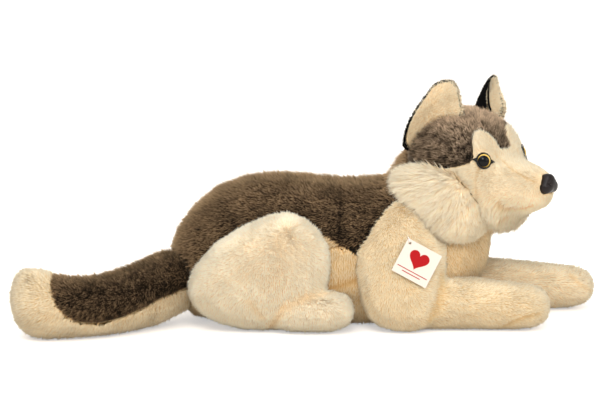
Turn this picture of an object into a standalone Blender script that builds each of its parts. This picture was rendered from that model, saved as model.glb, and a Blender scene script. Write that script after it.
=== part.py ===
"""Plush wolf that lies on its belly, in metres with +Z up.

The nose points to +X and the head is turned towards -Y, which is the wolf's right side.
Each panel of plush is one solid that holds the stuffing behind it. A solid's outer face is
where the tips of its pile end. Panels that meet keep the gap SEAM_GAP between them.
"""

import math

import bmesh
import bpy
import numpy as np
from mathutils import Matrix, Vector
from mathutils.bvhtree import BVHTree

# General sizes
SEAM_GAP = 0.0003
CUT_DEPTH = 0.006

# Torso
TORSO_LENGTH = 0.330
TORSO_WIDTH = 0.142
BACK_HEIGHT = 0.151
RUMP_X = -0.135
NECK_WIDTH = 0.104
NECK_LENGTH = 0.096

# Head
HEAD_LENGTH = 0.153
HEAD_WIDTH = 0.116
HEAD_HEIGHT = 0.123
HEAD_TURN = math.radians(36.0)
HEAD_RISE = 0.010
RUFF_HEIGHT = 0.133
RUFF_THICKNESS = 0.064
RUFF_FLARE = 0.10
EAR_HEIGHT_SCALE = 0.96
EAR_WIDTH_SCALE = 1.0
EAR_LINING = 0.0035
EAR_LEAF = 0.0026
EAR_RIM_SPREAD = 1.03
EAR_RINGS = (0.40, 0.80)
EAR_SIDES = 18
EAR_TIP_FLATTENING = 0.35

# Eyes and nose
EYE_RADIUS = 0.0074
EYE_DOME = 0.0052
EYE_SPREAD = 0.0395
EYE_LEAF = 0.0008
EYE_RIM = 0.0011
EYE_CORNER = 0.0125
EYE_CORNER_ANGLE = 0.28
NOSE_WIDTH = 0.025
NOSE_HEIGHT = 0.0205
NOSE_DEPTH = 0.0075
NOSE_SINK = 0.0019
NOSTRIL_RADIUS = 0.0022
SHANK_RADIUS = 0.002
SHANK_LENGTH = 0.012
WASHER_RADIUS = 0.0065
WASHER_THICKNESS = 0.0016
EYE_BACK = 0.0016
SHANK_SIDES = 12

# Legs
RIGHT_LEG_Y = -0.057
LEFT_LEG_Y = 0.048
UPPER_ARM_WIDTH = 0.102
UPPER_ARM_HEIGHT = 0.134
UPPER_ARM_THICKNESS = 0.064
UPPER_ARM_TILT = 0.22
FOREARM_THICKNESS = 0.056
FOREARM_WIDTH = 0.052
RIGHT_REACH = 0.0
LEFT_REACH = 0.057
ARM_FOLLOWS_REACH = 0.45
ARM_INSET = 0.015
THIGH_INSET = 0.006
FOOT_OUTSET = 0.008
FOREARM_LENGTH = 0.150
PAW_LIFT = 0.42
THIGH_LENGTH = 0.147
THIGH_HEIGHT = 0.122
THIGH_THICKNESS = 0.064
FOOT_LENGTH = 0.084
FOOT_WIDTH = 0.052
FOOT_HEIGHT = 0.044

# Tail
TAIL_THICKNESS = 0.062
TAIL_WIDTH = 0.064

# Hang tag
TAG_LENGTH = 0.0385
TAG_WIDTH = 0.0360
TAG_LEAF = 0.0005
TAG_MOUTH = 0.0022
TAG_HOLE_RADIUS = 0.0015
TAG_HOLE_INSET = 0.0036
TAG_TURN = math.radians(-28.0)
TAG_CLEARANCE = 0.0006
FASTENER_RADIUS = 0.00045
FASTENER_BOW = 0.0022
FASTENER_REACH = 0.0062

# Places that follow from the sizes
HALF_TORSO = TORSO_WIDTH / 2
HEAD_X = RUMP_X + 0.895 * TORSO_LENGTH
HEAD_Y = -0.004
HEAD_Z = BACK_HEIGHT + HEAD_RISE
HEAD_FRAME = Matrix.Translation((HEAD_X, HEAD_Y, HEAD_Z)) @ Matrix.Rotation(-HEAD_TURN, 4, "Z")
UPRIGHT = Matrix(((0, 0, -1, 0), (0, 1, 0, 0), (1, 0, 0, 0), (0, 0, 0, 1)))

WASHER_TOP = -EYE_BACK - 0.55 * SHANK_LENGTH
TAG_HOLE_X = -TAG_LENGTH / 2 + TAG_HOLE_INSET
TAG_HOLE_Y = TAG_WIDTH / 2 - TAG_HOLE_INSET
TAG_HALF_DEPTH = TAG_MOUTH / 2 + TAG_LEAF

# Torso rows: place along its length, half width, underside and back, as shares of its sizes
TORSO_ROWS = (
    (0.000, 0.10, 0.27, 0.42),
    (0.012, 0.36, 0.18, 0.56),
    (0.045, 0.58, 0.07, 0.69),
    (0.127, 0.82, -0.04, 0.88),
    (0.235, 0.95, -0.07, 0.975),
    (0.342, 1.00, -0.07, 1.003),
    (0.450, 0.98, -0.07, 0.985),
    (0.570, 0.97, -0.07, 0.962),
    (0.660, 0.99, -0.07, 0.985),
    (0.760, 0.98, -0.06, 1.00),
    (0.850, 0.90, 0.00, 0.97),
    (0.930, 0.70, 0.16, 0.90),
    (0.980, 0.42, 0.34, 0.78),
    (0.995, 0.12, 0.50, 0.62),
)
# Neck rows: height over the back, back and front as shares of its length, half width
NECK_ROWS = (
    (-0.060, 0.00, 1.22, 0.98),
    (-0.030, 0.00, 1.22, 1.00),
    (-0.006, 0.04, 1.16, 1.00),
    (0.014, 0.16, 1.10, 0.94),
    (0.030, 0.30, 1.00, 0.80),
    (0.040, 0.44, 0.86, 0.52),
)
# Side view of the seam between the dark back and the cream belly and chest
FLANK_SEAM = (
    (-0.20, 0.20),
    (-0.02, 0.24),
    (0.10, 0.36),
    (0.26, 0.47),
    (0.40, 0.56),
    (0.56, 0.57),
    (0.67, 0.62),
    (0.75, 0.78),
    (0.79, 1.02),
    (0.80, 1.80),
)
# Head rows: place along its length from the back, half width, underside and top
HEAD_ROWS = (
    (0.000, 0.22, -0.08, 0.20),
    (0.040, 0.62, -0.18, 0.36),
    (0.120, 0.86, -0.24, 0.44),
    (0.240, 0.97, -0.26, 0.485),
    (0.380, 1.00, -0.28, 0.480),
    (0.500, 0.99, -0.32, 0.435),
    (0.590, 0.95, -0.40, 0.350),
    (0.660, 0.82, -0.44, 0.210),
    (0.705, 0.66, -0.43, 0.120),
    (0.770, 0.54, -0.395, 0.080),
    (0.860, 0.46, -0.350, 0.050),
    (0.930, 0.38, -0.310, 0.010),
    (0.980, 0.26, -0.270, -0.035),
    (1.000, 0.10, -0.190, -0.095),
)
HEAD_BACK = -0.30
# Cheek ruff outline in the head's side view: along from the head's turning point, and height
RUFF_OUTLINE = (
    (0.27, -0.54),
    (0.12, -0.52),
    (-0.02, -0.44),
    (-0.12, -0.33),
    (-0.21, -0.22),
    (-0.27, -0.10),
    (-0.22, 0.00),
    (-0.06, 0.05),
    (0.12, 0.055),
    (0.25, 0.00),
    (0.33, -0.11),
    (0.355, -0.26),
    (0.35, -0.42),
)
# Right half of the nose in its front view, as shares of half its width and height
NOSE_OUTLINE = (
    (0.0, 0.84),
    (0.56, 0.98),
    (0.96, 0.66),
    (1.0, 0.14),
    (0.62, -0.42),
    (0.30, -0.90),
    (0.0, -1.0),
)
# Lower edge of the dark cap in the head's side view, and one cream brow in its front view
CAP_EDGE = ((-0.60, 0.02), (0.18, 0.02), (0.30, 0.075), (0.375, 0.115))
BROW_EDGE = (
    (1.10, -0.20),
    (1.10, 0.020),
    (0.94, 0.030),
    (0.82, 0.095),
    (0.72, 0.185),
    (0.64, 0.270),
    (0.52, 0.315),
    (0.38, 0.318),
    (0.27, 0.285),
    (0.19, 0.215),
    (0.155, 0.120),
    (0.150, -0.20),
)
BROW_BACK = 0.14
# Ear outline: share of the way from the front to the rear end of its base, and of its height
EAR_OUTLINE = (
    (0.00, 0.00),
    (0.07, 0.22),
    (0.21, 0.61),
    (0.36, 0.88),
    (0.50, 1.00),
    (0.63, 1.07),
    (0.76, 1.05),
    (0.88, 0.88),
    (1.02, 0.64),
    (1.09, 0.42),
    (1.08, 0.15),
    (1.00, -0.10),
    (0.80, -0.34),
    (0.40, -0.36),
    (0.08, -0.22),
)
# Base ends and tip of each ear in the head's frame, as along, sideways and up, and its hollow
EAR_POSES = {
    "right": ((0.020, -0.023, 0.056), (-0.028, -0.052, 0.025), (0.015, -0.043, 0.090), 0.007),
    "left": ((0.025, 0.022, 0.053), (0.010, 0.056, 0.039), (0.026, 0.045, 0.085), 0.018),
}
# Limb outlines and rows, as shares of their own sizes
UPPER_ARM_OUTLINE = (
    (-0.50, 0.62),
    (-0.46, 0.40),
    (-0.41, 0.24),
    (-0.33, 0.10),
    (-0.18, 0.02),
    (0.08, -0.02),
    (0.30, 0.04),
    (0.40, 0.20),
    (0.46, 0.42),
    (0.48, 0.66),
    (0.38, 0.88),
    (0.18, 1.00),
    (-0.06, 0.99),
    (-0.24, 0.90),
    (-0.40, 0.76),
)
THIGH_OUTLINE = (
    (0.18, 1.00),
    (0.02, 0.955),
    (-0.14, 0.86),
    (-0.29, 0.75),
    (-0.39, 0.62),
    (-0.475, 0.48),
    (-0.50, 0.32),
    (-0.455, 0.20),
    (-0.36, 0.10),
    (-0.18, 0.02),
    (0.04, -0.01),
    (0.24, 0.02),
    (0.40, 0.20),
    (0.49, 0.42),
    (0.505, 0.62),
    (0.46, 0.78),
    (0.34, 0.93),
)
FOREARM_ROWS = (
    (0.00, 0.40, 0.60),
    (0.03, 0.72, 0.85),
    (0.12, 0.96, 1.00),
    (0.35, 0.94, 0.98),
    (0.60, 0.94, 0.91),
    (0.76, 1.00, 0.85),
    (0.88, 0.96, 0.78),
    (0.955, 0.76, 0.62),
    (0.99, 0.46, 0.38),
    (1.00, 0.18, 0.16),
)
FOOT_ROWS = (
    (0.00, 0.40, 0.50),
    (0.06, 0.72, 0.80),
    (0.25, 0.92, 0.96),
    (0.50, 1.00, 1.00),
    (0.75, 0.98, 0.96),
    (0.91, 0.76, 0.76),
    (0.98, 0.48, 0.48),
    (1.00, 0.20, 0.20),
)
# Tail rows: centre (x, y, z) from its root in the rump, share of width and of thickness
TAIL_ROWS = (
    (0.030, 0.010, 0.052, 0.50, 0.60),
    (0.010, -0.004, 0.050, 0.84, 0.94),
    (-0.018, -0.024, 0.044, 0.98, 1.10),
    (-0.040, -0.045, 0.037, 1.00, 1.12),
    (-0.062, -0.066, 0.033, 1.00, 1.06),
    (-0.086, -0.084, 0.031, 1.00, 1.00),
    (-0.112, -0.094, 0.030, 1.03, 0.99),
    (-0.134, -0.098, 0.032, 1.08, 1.08),
    (-0.152, -0.100, 0.035, 1.08, 1.14),
    (-0.166, -0.101, 0.038, 0.92, 1.00),
    (-0.174, -0.102, 0.040, 0.62, 0.68),
    (-0.177, -0.102, 0.041, 0.25, 0.28),
)
# Side view of the seam between the tail's dark top and cream underside, from its root
TAIL_SEAM = (
    (0.090, 0.72),
    (0.030, 0.70),
    (-0.006, 0.66),
    (-0.028, 0.58),
    (-0.046, 0.46),
    (-0.066, 0.35),
    (-0.086, 0.29),
    (-0.104, 0.31),
    (-0.119, 0.44),
    (-0.129, 0.66),
    (-0.1335, 0.92),
    (-0.1345, 1.60),
)
TAIL_ROOT_X = RUMP_X + 0.025
UPPER_ARM_X = RUMP_X + 0.712 * TORSO_LENGTH
THIGH_X = RUMP_X + 0.282 * TORSO_LENGTH
TAG_X = UPPER_ARM_X + 0.14 * UPPER_ARM_WIDTH
TAG_Z = 0.54 * UPPER_ARM_HEIGHT
THIGH_Y = HALF_TORSO - THIGH_INSET
FOOT_TIP_X = THIGH_X + 0.64 * THIGH_LENGTH
ARM_Y = HALF_TORSO - ARM_INSET
NECK_X = RUMP_X + 0.655 * TORSO_LENGTH
RUFF_Y = 0.37 * HEAD_WIDTH

# Colours read from the object, as sRGB
DARK_PLUSH = "5A4A3C"
CREAM_PLUSH = "EBD6B0"
BLACK_PLUSH = "121110"
LINING_PLUSH = "F0E0C2"
EYE_BLACK = "0C0A0A"
NOSE_BROWN = "2B2022"
WASHER_WHITE = "E8E6E0"
CARD_WHITE = "F4EEE6"


def colour_value(code):
    """One linear RGBA colour from an sRGB code."""
    parts = [int(code[i : i + 2], 16) / 255 for i in (0, 2, 4)]
    return [c / 12.92 if c < 0.04045 else ((c + 0.055) / 1.055) ** 2.4 for c in parts] + [1.0]


def material(name, code, roughness):
    made = bpy.data.materials.new(name)
    made.use_nodes = True
    made.diffuse_color = colour_value(code)
    shader = made.node_tree.nodes["Principled BSDF"]
    shader.inputs["Base Color"].default_value = colour_value(code)
    shader.inputs["Roughness"].default_value = roughness
    shader.inputs["Metallic"].default_value = 0.0
    return made


def make_object(name, points, faces):
    """One object from points and faces, closed, triangulated and with its faces pointing out."""
    mesh = bpy.data.meshes.new(name)
    mesh.from_pydata([tuple(p) for p in points], [], faces)
    shape = bmesh.new()
    shape.from_mesh(mesh)
    bmesh.ops.remove_doubles(shape, verts=shape.verts, dist=0.000001)
    bmesh.ops.triangulate(shape, faces=shape.faces)
    bmesh.ops.recalc_face_normals(shape, faces=shape.faces)
    if shape.calc_volume(signed=True) < 0:
        bmesh.ops.reverse_faces(shape, faces=shape.faces)
    shape.to_mesh(mesh)
    shape.free()
    mesh.shade_smooth()
    made = bpy.data.objects.new(name, mesh)
    bpy.context.scene.collection.objects.link(made)
    return made


def place(made, matrix):
    made.data.transform(matrix)
    return made


def lower_limit(made, height):
    """Flattens whatever is lower than the given height, as stuffing does on a floor."""
    for vertex in made.data.vertices:
        vertex.co.z = max(vertex.co.z, height)
    made.data.update()
    return made


def smooth_rows(rows, count):
    """Reads rows from a Catmull-Rom curve through the rows that were chosen by hand."""
    rows = np.asarray(rows, float)
    padded = np.vstack((2 * rows[0] - rows[1], rows, 2 * rows[-1] - rows[-2]))
    spots = np.linspace(0, len(rows) - 1, count)
    return spline(padded, spots, len(rows) - 2)


def smooth_loop(points, count):
    """Reads points from a closed Catmull-Rom curve through the points that were chosen by hand."""
    points = np.asarray(points, float)
    padded = np.vstack((points[-1], points, points[0], points[1]))
    spots = np.linspace(0, len(points), count, endpoint=False)
    return spline(padded, spots, len(points) - 1)


def spline(padded, spots, last):
    index = np.minimum(spots.astype(int), last)
    t = (spots - index)[:, None]
    a, b, c, d = (padded[index + k] for k in range(4))
    linear = 2 * b + (c - a) * t
    curved = (2 * a - 5 * b + 4 * c - d) * t**2 + (3 * b - a - 3 * c + d) * t**3
    return (linear + curved) / 2


def closed_faces(rings, sides):
    """Faces of a stack of rings whose two ends close to a pole each."""
    faces = []
    for i in range(rings - 1):
        for j in range(sides):
            k = (j + 1) % sides
            faces.append((i * sides + j, i * sides + k, (i + 1) * sides + k, (i + 1) * sides + j))
    first = rings * sides
    last = (rings - 1) * sides
    for j in range(sides):
        k = (j + 1) % sides
        faces.append((k, j, first))
        faces.append((last + j, last + k, first + 1))
    return faces


def tube(name, rows, rings, sides, power, grow=0.0):
    """A soft tube along a path in plan.

    Each row holds a centre, a half width and a half height. A ring is a superellipse that
    stands across the path: width times cos(a)^(2/power) and height times sin(a)^(2/power).
    """
    rows = smooth_rows(rows, rings)
    centre = rows[:, :3]
    along = np.gradient(centre[:, :2], axis=0)
    along /= np.linalg.norm(along, axis=1)[:, None]
    angle = np.linspace(0, 2 * math.pi, sides, endpoint=False)
    wide = np.sign(np.cos(angle)) * np.abs(np.cos(angle)) ** (2 / power)
    high = np.sign(np.sin(angle)) * np.abs(np.sin(angle)) ** (2 / power)
    half_width = rows[:, 3, None] + grow
    half_height = rows[:, 4, None] + grow
    points = np.empty((rings, sides, 3))
    points[:, :, 0] = centre[:, 0, None] - along[:, 1, None] * half_width * wide
    points[:, :, 1] = centre[:, 1, None] + along[:, 0, None] * half_width * wide
    points[:, :, 2] = centre[:, 2, None] + half_height * high
    ends = np.array((points[0].mean(0), points[-1].mean(0)))
    ends[0, :2] -= along[0] * (grow + half_width[0] * 0.2)
    ends[1, :2] += along[-1] * (grow + half_width[-1] * 0.2)
    flat = np.vstack((points.reshape(-1, 3), ends))
    return make_object(name, flat, closed_faces(rings, sides))


def pillow(name, outline, layers, sides, depth, power=2.0, grow=0.0, lean=0.0, tilt=0.0):
    """A cushion whose outline lies in the XZ plane and that closes to a pole at -Y and at +Y.

    A layer at the angle a is the outline scaled by cos(a)^(2/power), at depth sin(a)^(2/power).
    The lean moves the points sideways with their distance along X, and the tilt with height.
    """
    loop = smooth_loop(outline, sides)
    middle = (loop.max(0) + loop.min(0)) / 2
    spokes = loop - middle
    reach = np.linalg.norm(spokes, axis=1)[:, None]
    spokes *= 1 + grow / reach
    angle = np.linspace(-math.pi / 2, math.pi / 2, layers + 2)[1:-1]
    scale = np.cos(angle) ** (2 / power)
    side = np.sign(angle) * np.abs(np.sin(angle)) ** (2 / power) * (depth + grow)
    points = np.empty((layers, sides, 3))
    points[:, :, 0] = middle[0] + scale[:, None] * spokes[None, :, 0]
    points[:, :, 2] = middle[1] + scale[:, None] * spokes[None, :, 1]
    points[:, :, 1] = side[:, None] + lean * (points[:, :, 0] - middle[0])
    points[:, :, 1] += tilt * (points[:, :, 2] - middle[1])
    poles = np.array(((middle[0], -depth - grow, middle[1]), (middle[0], depth + grow, middle[1])))
    flat = np.vstack((points.reshape(-1, 3), poles))
    return make_object(name, flat, closed_faces(layers, sides))


def turned(name, profile, sides):
    """A solid of revolution round Z, from (radius, height) points between its two poles."""
    angle = np.linspace(0, 2 * math.pi, sides, endpoint=False)
    inner = profile[1:-1]
    points = [(r * math.cos(a), r * math.sin(a), h) for r, h in inner for a in angle]
    points += [(0, 0, profile[0][1]), (0, 0, profile[-1][1])]
    return make_object(name, points, closed_faces(len(inner), sides))


def prism(name, outline, start, end):
    """An outline in the XZ plane, extruded along Y."""
    count = len(outline)
    points = [(x, start, z) for x, z in outline] + [(x, end, z) for x, z in outline]
    faces = [tuple(range(count)), tuple(range(2 * count - 1, count - 1, -1))]
    faces += [(i, i + count, (i + 1) % count + count, (i + 1) % count) for i in range(count)]
    return make_object(name, points, faces)


def combine(target, tool, operation):
    """Joins, cuts or intersects the target with a tool, and removes the tool."""
    modifier = target.modifiers.new("combine", "BOOLEAN")
    modifier.operation = operation
    modifier.solver = "EXACT"
    modifier.object = tool
    tool.hide_render = True
    tool.display_type = "WIRE"
    seen = target.evaluated_get(bpy.context.evaluated_depsgraph_get())
    settled = bpy.data.meshes.new_from_object(seen)
    target.modifiers.clear()
    target.data = settled
    settled.name = target.name
    bpy.data.objects.remove(tool)
    return target


def copy_of(made, name):
    twin = made.copy()
    twin.data = made.data.copy()
    twin.name = name
    bpy.context.scene.collection.objects.link(twin)
    return twin


def finish(made, name, coat):
    made.name = name
    made.data.name = name
    made.data.materials.clear()
    made.data.materials.append(coat)
    made.data.shade_smooth()
    made.data.set_sharp_from_angle(angle=math.radians(50))
    return made


def grown_floor(grow):
    """A panel stops at the floor, and a tool that cuts one goes on below it."""
    return -CUT_DEPTH if grow > 0 else 0.0


def torso_form(grow=0.0):
    rows = []
    for along, wide, under, back in TORSO_ROWS:
        middle = (under + back) / 2 * BACK_HEIGHT
        half = (back - under) / 2 * BACK_HEIGHT
        rows.append((RUMP_X + along * TORSO_LENGTH, 0, middle, wide * HALF_TORSO, half))
    body = tube("torso", rows, 17, 20, 2.25, grow)
    rows = []
    for lift, back, front, wide in NECK_ROWS:
        middle = NECK_X + (back + front) / 2 * NECK_LENGTH
        half = (front - back) / 2 * NECK_LENGTH
        rows.append((BACK_HEIGHT + lift, 0, -middle, wide * NECK_WIDTH / 2, half))
    neck = place(tube("neck", rows, 6, 18, 2.1, grow), UPRIGHT)
    combine(body, neck, "UNION")
    return lower_limit(body, grown_floor(grow))


def head_form(grow=0.0):
    rows = []
    for along, wide, under, top in HEAD_ROWS:
        middle = (under + top) / 2 * HEAD_HEIGHT
        half = (top - under) / 2 * HEAD_HEIGHT
        spot = (HEAD_BACK + along) * HEAD_LENGTH
        rows.append((spot, 0, middle, wide * HEAD_WIDTH / 2, half))
    return place(tube("head", rows, 19, 22, 2.2, grow), HEAD_FRAME)


def side_sign(side):
    return -1 if side == "right" else 1


def ruff_form(side):
    sign = side_sign(side)
    outline = [(x * HEAD_LENGTH, z * RUFF_HEIGHT) for x, z in RUFF_OUTLINE]
    ruff = pillow("ruff", outline, 8, 20, RUFF_THICKNESS / 2, 3.0, lean=-sign * RUFF_FLARE)
    return place(ruff, HEAD_FRAME @ Matrix.Translation((0, sign * RUFF_Y, 0)))


def front_leg_form(side, grow=0.0):
    sign = side_sign(side)
    reach = RIGHT_REACH if side == "right" else LEFT_REACH
    beside = RIGHT_LEG_Y if side == "right" else LEFT_LEG_Y
    shift = ARM_FOLLOWS_REACH * reach
    outline = [
        (UPPER_ARM_X + shift + x * UPPER_ARM_WIDTH, z * UPPER_ARM_HEIGHT)
        for x, z in UPPER_ARM_OUTLINE
    ]
    thick = UPPER_ARM_THICKNESS / 2
    arm = pillow("arm", outline, 7, 20, thick, 2.3, grow, tilt=-sign * UPPER_ARM_TILT)
    place(arm, Matrix.Translation((0, sign * ARM_Y, 0)))
    start = UPPER_ARM_X + shift
    length = FOREARM_LENGTH + reach - shift
    rows = []
    for along, wide, high in FOREARM_ROWS:
        half = high * FOREARM_THICKNESS / 2
        middle = max(half, PAW_LIFT * FOREARM_THICKNESS)
        spot = start + along * length
        rows.append((spot, beside, middle, wide * FOREARM_WIDTH / 2, half))
    forearm = tube("forearm", rows, 10, 16, 2.2, grow)
    combine(arm, forearm, "UNION")
    return lower_limit(arm, grown_floor(grow))


def hind_leg_form(side, grow=0.0):
    sign = side_sign(side)
    outline = [(THIGH_X + x * THIGH_LENGTH, z * THIGH_HEIGHT) for x, z in THIGH_OUTLINE]
    thigh = pillow("thigh", outline, 7, 22, THIGH_THICKNESS / 2, 2.2, grow)
    place(thigh, Matrix.Translation((0, sign * THIGH_Y, 0)))
    rows = []
    for along, wide, high in FOOT_ROWS:
        half = high * FOOT_HEIGHT / 2
        middle = FOOT_HEIGHT / 2
        spot = FOOT_TIP_X + (along - 1) * FOOT_LENGTH
        rows.append((spot, sign * (THIGH_Y + FOOT_OUTSET), middle, wide * FOOT_WIDTH / 2, half))
    foot = tube("foot", rows, 8, 14, 2.2, grow)
    combine(thigh, foot, "UNION")
    return lower_limit(thigh, grown_floor(grow))


def tail_form():
    rows = []
    for x, y, z, wide, high in TAIL_ROWS:
        rows.append((TAIL_ROOT_X + x, y, z, wide * TAIL_WIDTH / 2, high * TAIL_THICKNESS / 2))
    tail = tube("tail", rows, 15, 16, 2.1)
    return lower_limit(tail, 0.0)


def offset_outline(outline, distance):
    """Moves each side of an outline outwards by the distance, with mitred corners."""
    points = np.asarray(outline, float)
    following = np.roll(points, -1, axis=0)
    turning = np.sum(points[:, 0] * following[:, 1] - following[:, 0] * points[:, 1])
    side = following - points
    side /= np.linalg.norm(side, axis=1)[:, None]
    normal = np.stack((side[:, 1], -side[:, 0]), axis=1) * np.sign(turning)
    before = np.roll(normal, 1, axis=0)
    mitre = (normal + before) / (1 + np.sum(normal * before, axis=1))[:, None]
    return [tuple(p) for p in points + mitre * distance]


def region(name, outline, half_depth, grow):
    return prism(name, offset_outline(outline, grow), -half_depth, half_depth)


def make_torso(dark, cream):
    """Splits the torso along the flank seam into the dark back and the cream belly."""
    seam = [(RUMP_X + x * TORSO_LENGTH, z * BACK_HEIGHT) for x, z in FLANK_SEAM]
    far = seam[0][0]
    outline = seam + [(far, seam[-1][1])]
    back = torso_form()
    combine(back, head_form(SEAM_GAP), "DIFFERENCE")
    belly = copy_of(back, "belly")
    combine(back, region("above", outline, TORSO_WIDTH, 0.0), "INTERSECT")
    combine(belly, region("above", outline, TORSO_WIDTH, SEAM_GAP), "DIFFERENCE")
    return [finish(back, "torso_back", dark), finish(belly, "torso_belly", cream)]


def make_tail(dark, cream):
    """Splits the tail along its side seam, after the rump and the thigh are cut from it."""
    seam = [(TAIL_ROOT_X + x, z * TAIL_THICKNESS) for x, z in TAIL_SEAM]
    outline = seam + [(seam[0][0], seam[-1][1])]
    top = tail_form()
    combine(top, torso_form(SEAM_GAP), "DIFFERENCE")
    combine(top, hind_leg_form("right", SEAM_GAP), "DIFFERENCE")
    under = copy_of(top, "under")
    combine(top, region("above", outline, 4 * TAIL_WIDTH, 0.0), "INTERSECT")
    combine(under, region("above", outline, 4 * TAIL_WIDTH, SEAM_GAP), "DIFFERENCE")
    return [finish(top, "tail_top", dark), finish(under, "tail_underside", cream)]


def cap_region(grow):
    """The dark cap's part of the head: above its edge, less the two cream brows."""
    edge = [(x * HEAD_LENGTH, z * HEAD_HEIGHT) for x, z in CAP_EDGE]
    top = HEAD_HEIGHT
    outline = edge + [(edge[-1][0], top), (edge[0][0], top)]
    cap = region("cap", outline, HEAD_WIDTH, grow)
    for sign in (-1, 1):
        brow = [(sign * x * HEAD_WIDTH / 2, z * HEAD_HEIGHT) for x, z in BROW_EDGE]
        back = -BROW_BACK * HEAD_LENGTH - grow
        cream = prism("brow", offset_outline(brow, -grow), -HEAD_LENGTH, back)
        combine(cap, place(cream, Matrix.Rotation(math.pi / 2, 4, "Z")), "DIFFERENCE")
    return place(cap, HEAD_FRAME)


def surface_point(made, start, direction):
    """Where a ray from the start meets the object."""
    points = [v.co.copy() for v in made.data.vertices]
    faces = [tuple(p.vertices) for p in made.data.polygons]
    hit = BVHTree.FromPolygons(points, faces).ray_cast(start, direction.normalized())
    return hit[0], hit[1]


def axes_at(point, normal, sideways):
    """A frame at the point with Z along the normal and X nearest to the sideways direction."""
    z = normal.normalized()
    y = z.cross(sideways).normalized()
    x = y.cross(z)
    frame = Matrix((x, y, z)).transposed().to_4x4()
    frame.translation = point
    return frame


def eye_frame(head, side):
    """Where an eye sits: on the face, looking outwards and forwards."""
    sign = side_sign(side)
    turn = HEAD_FRAME.to_3x3()
    look = turn @ Vector((0.66, sign * 0.72, 0.14))
    forward = turn @ Vector((1, 0, 0))
    start = HEAD_FRAME @ Vector((HEAD_LENGTH, sign * EYE_SPREAD, 0.095 * HEAD_HEIGHT))
    point, _ = surface_point(head, start, -forward)
    return axes_at(point, look, forward)


def shank_profile(grow=0.0, pocket=False):
    """Shank behind an eye or the nose, from its root down, and the washer's pocket if asked for."""
    r = SHANK_RADIUS + grow
    end = -EYE_BACK - SHANK_LENGTH - grow
    if not pocket:
        return [(r, end), (0, end)]
    wide = WASHER_RADIUS + grow
    top = WASHER_TOP + grow
    low = WASHER_TOP - WASHER_THICKNESS - grow
    return [(r, top), (wide, top), (wide, low), (r, low), (r, end), (0, end)]


def eye_form(grow=0.0, pocket=False):
    """Dome, rim and shank of one eye in one turned profile, along Z."""
    r = EYE_RADIUS + grow
    d = EYE_DOME + grow
    low = -EYE_BACK - grow
    arc = [(r * math.sin(a), d * math.cos(a)) for a in np.linspace(0, math.pi / 2, 6)]
    rim = [(r, -0.4 * EYE_BACK - grow), (0.86 * r, low), (SHANK_RADIUS + grow, low)]
    return turned("eye", arc + rim + shank_profile(grow, pocket), SHANK_SIDES)


def washer_form():
    """A locking washer on a shank, along Z: one ring of rectangular section."""
    bore = SHANK_RADIUS + SEAM_GAP
    low = WASHER_TOP - WASHER_THICKNESS
    angle = np.linspace(0, 2 * math.pi, SHANK_SIDES, endpoint=False)
    section = ((bore, low), (WASHER_RADIUS, low), (WASHER_RADIUS, WASHER_TOP), (bore, WASHER_TOP))
    points = [(r * math.cos(a), r * math.sin(a), h) for a in angle for r, h in section]
    faces = []
    for i in range(SHANK_SIDES):
        near, far = 4 * i, 4 * ((i + 1) % SHANK_SIDES)
        faces += [(near + k, near + (k + 1) % 4, far + (k + 1) % 4, far + k) for k in range(4)]
    return make_object("washer", points, faces)


def leaf_outline():
    """Round behind the eye, with a point at each corner."""
    r = EYE_RADIUS + EYE_RIM
    outline = []
    for start in (0.0, math.pi):
        outline.append((EYE_CORNER * math.cos(start), 0.0))
        for a in np.linspace(EYE_CORNER_ANGLE, math.pi - EYE_CORNER_ANGLE, 7):
            outline.append((r * math.cos(start + a), r * math.sin(start + a)))
    return outline


def make_eyes(head, black, felt, plastic):
    made = []
    pockets = []
    for side in ("right", "left"):
        frame = eye_frame(head, side)
        eye = place(eye_form(), frame)
        pockets.append(place(eye_form(SEAM_GAP, pocket=True), frame))
        leaf = prism("leaf", leaf_outline(), -CUT_DEPTH, CUT_DEPTH)
        place(leaf, frame @ Matrix.Rotation(math.pi / 2, 4, "X"))
        combine(leaf, head_form(SEAM_GAP + EYE_LEAF), "INTERSECT")
        combine(leaf, head_form(SEAM_GAP), "DIFFERENCE")
        combine(leaf, place(eye_form(SEAM_GAP), frame), "DIFFERENCE")
        washer = place(washer_form(), frame)
        made.append(finish(eye, "eye_" + side, black))
        made.append(finish(leaf, "eye_backing_" + side, felt))
        made.append(finish(washer, "eye_washer_" + side, plastic))
    return made, pockets


def nose_outline():
    """Both halves of the nose's front view, from its right half."""
    w = NOSE_WIDTH / 2
    h = NOSE_HEIGHT / 2
    right = [(x * w, z * h) for x, z in NOSE_OUTLINE]
    return right + [(-x, z) for x, z in right[-2:0:-1]]


def nose_form(grow=0.0, pocket=False):
    """Rounded T of the nose, with its shank behind it, along Z."""
    nose = pillow("nose", nose_outline(), 7, 20, NOSE_DEPTH, 2.6, grow)
    place(nose, Matrix.Rotation(math.pi / 2, 4, "X"))
    top = 0.5 * NOSE_DEPTH
    root = [(0, top), (SHANK_RADIUS + grow, top)]
    shank = turned("shank", root + shank_profile(grow, pocket), SHANK_SIDES)
    place(shank, Matrix.Translation((0, 0, EYE_BACK - NOSE_DEPTH)))
    combine(nose, shank, "UNION")
    return nose


def nose_frame(head):
    turn = HEAD_FRAME.to_3x3()
    forward = turn @ Vector((1, 0, 0.10))
    start = HEAD_FRAME @ Vector((HEAD_LENGTH, 0, -0.055 * HEAD_HEIGHT))
    point, _ = surface_point(head, start, -forward)
    seat = point - forward.normalized() * NOSE_SINK
    return axes_at(seat, forward, turn @ Vector((0, 1, 0)))


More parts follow.
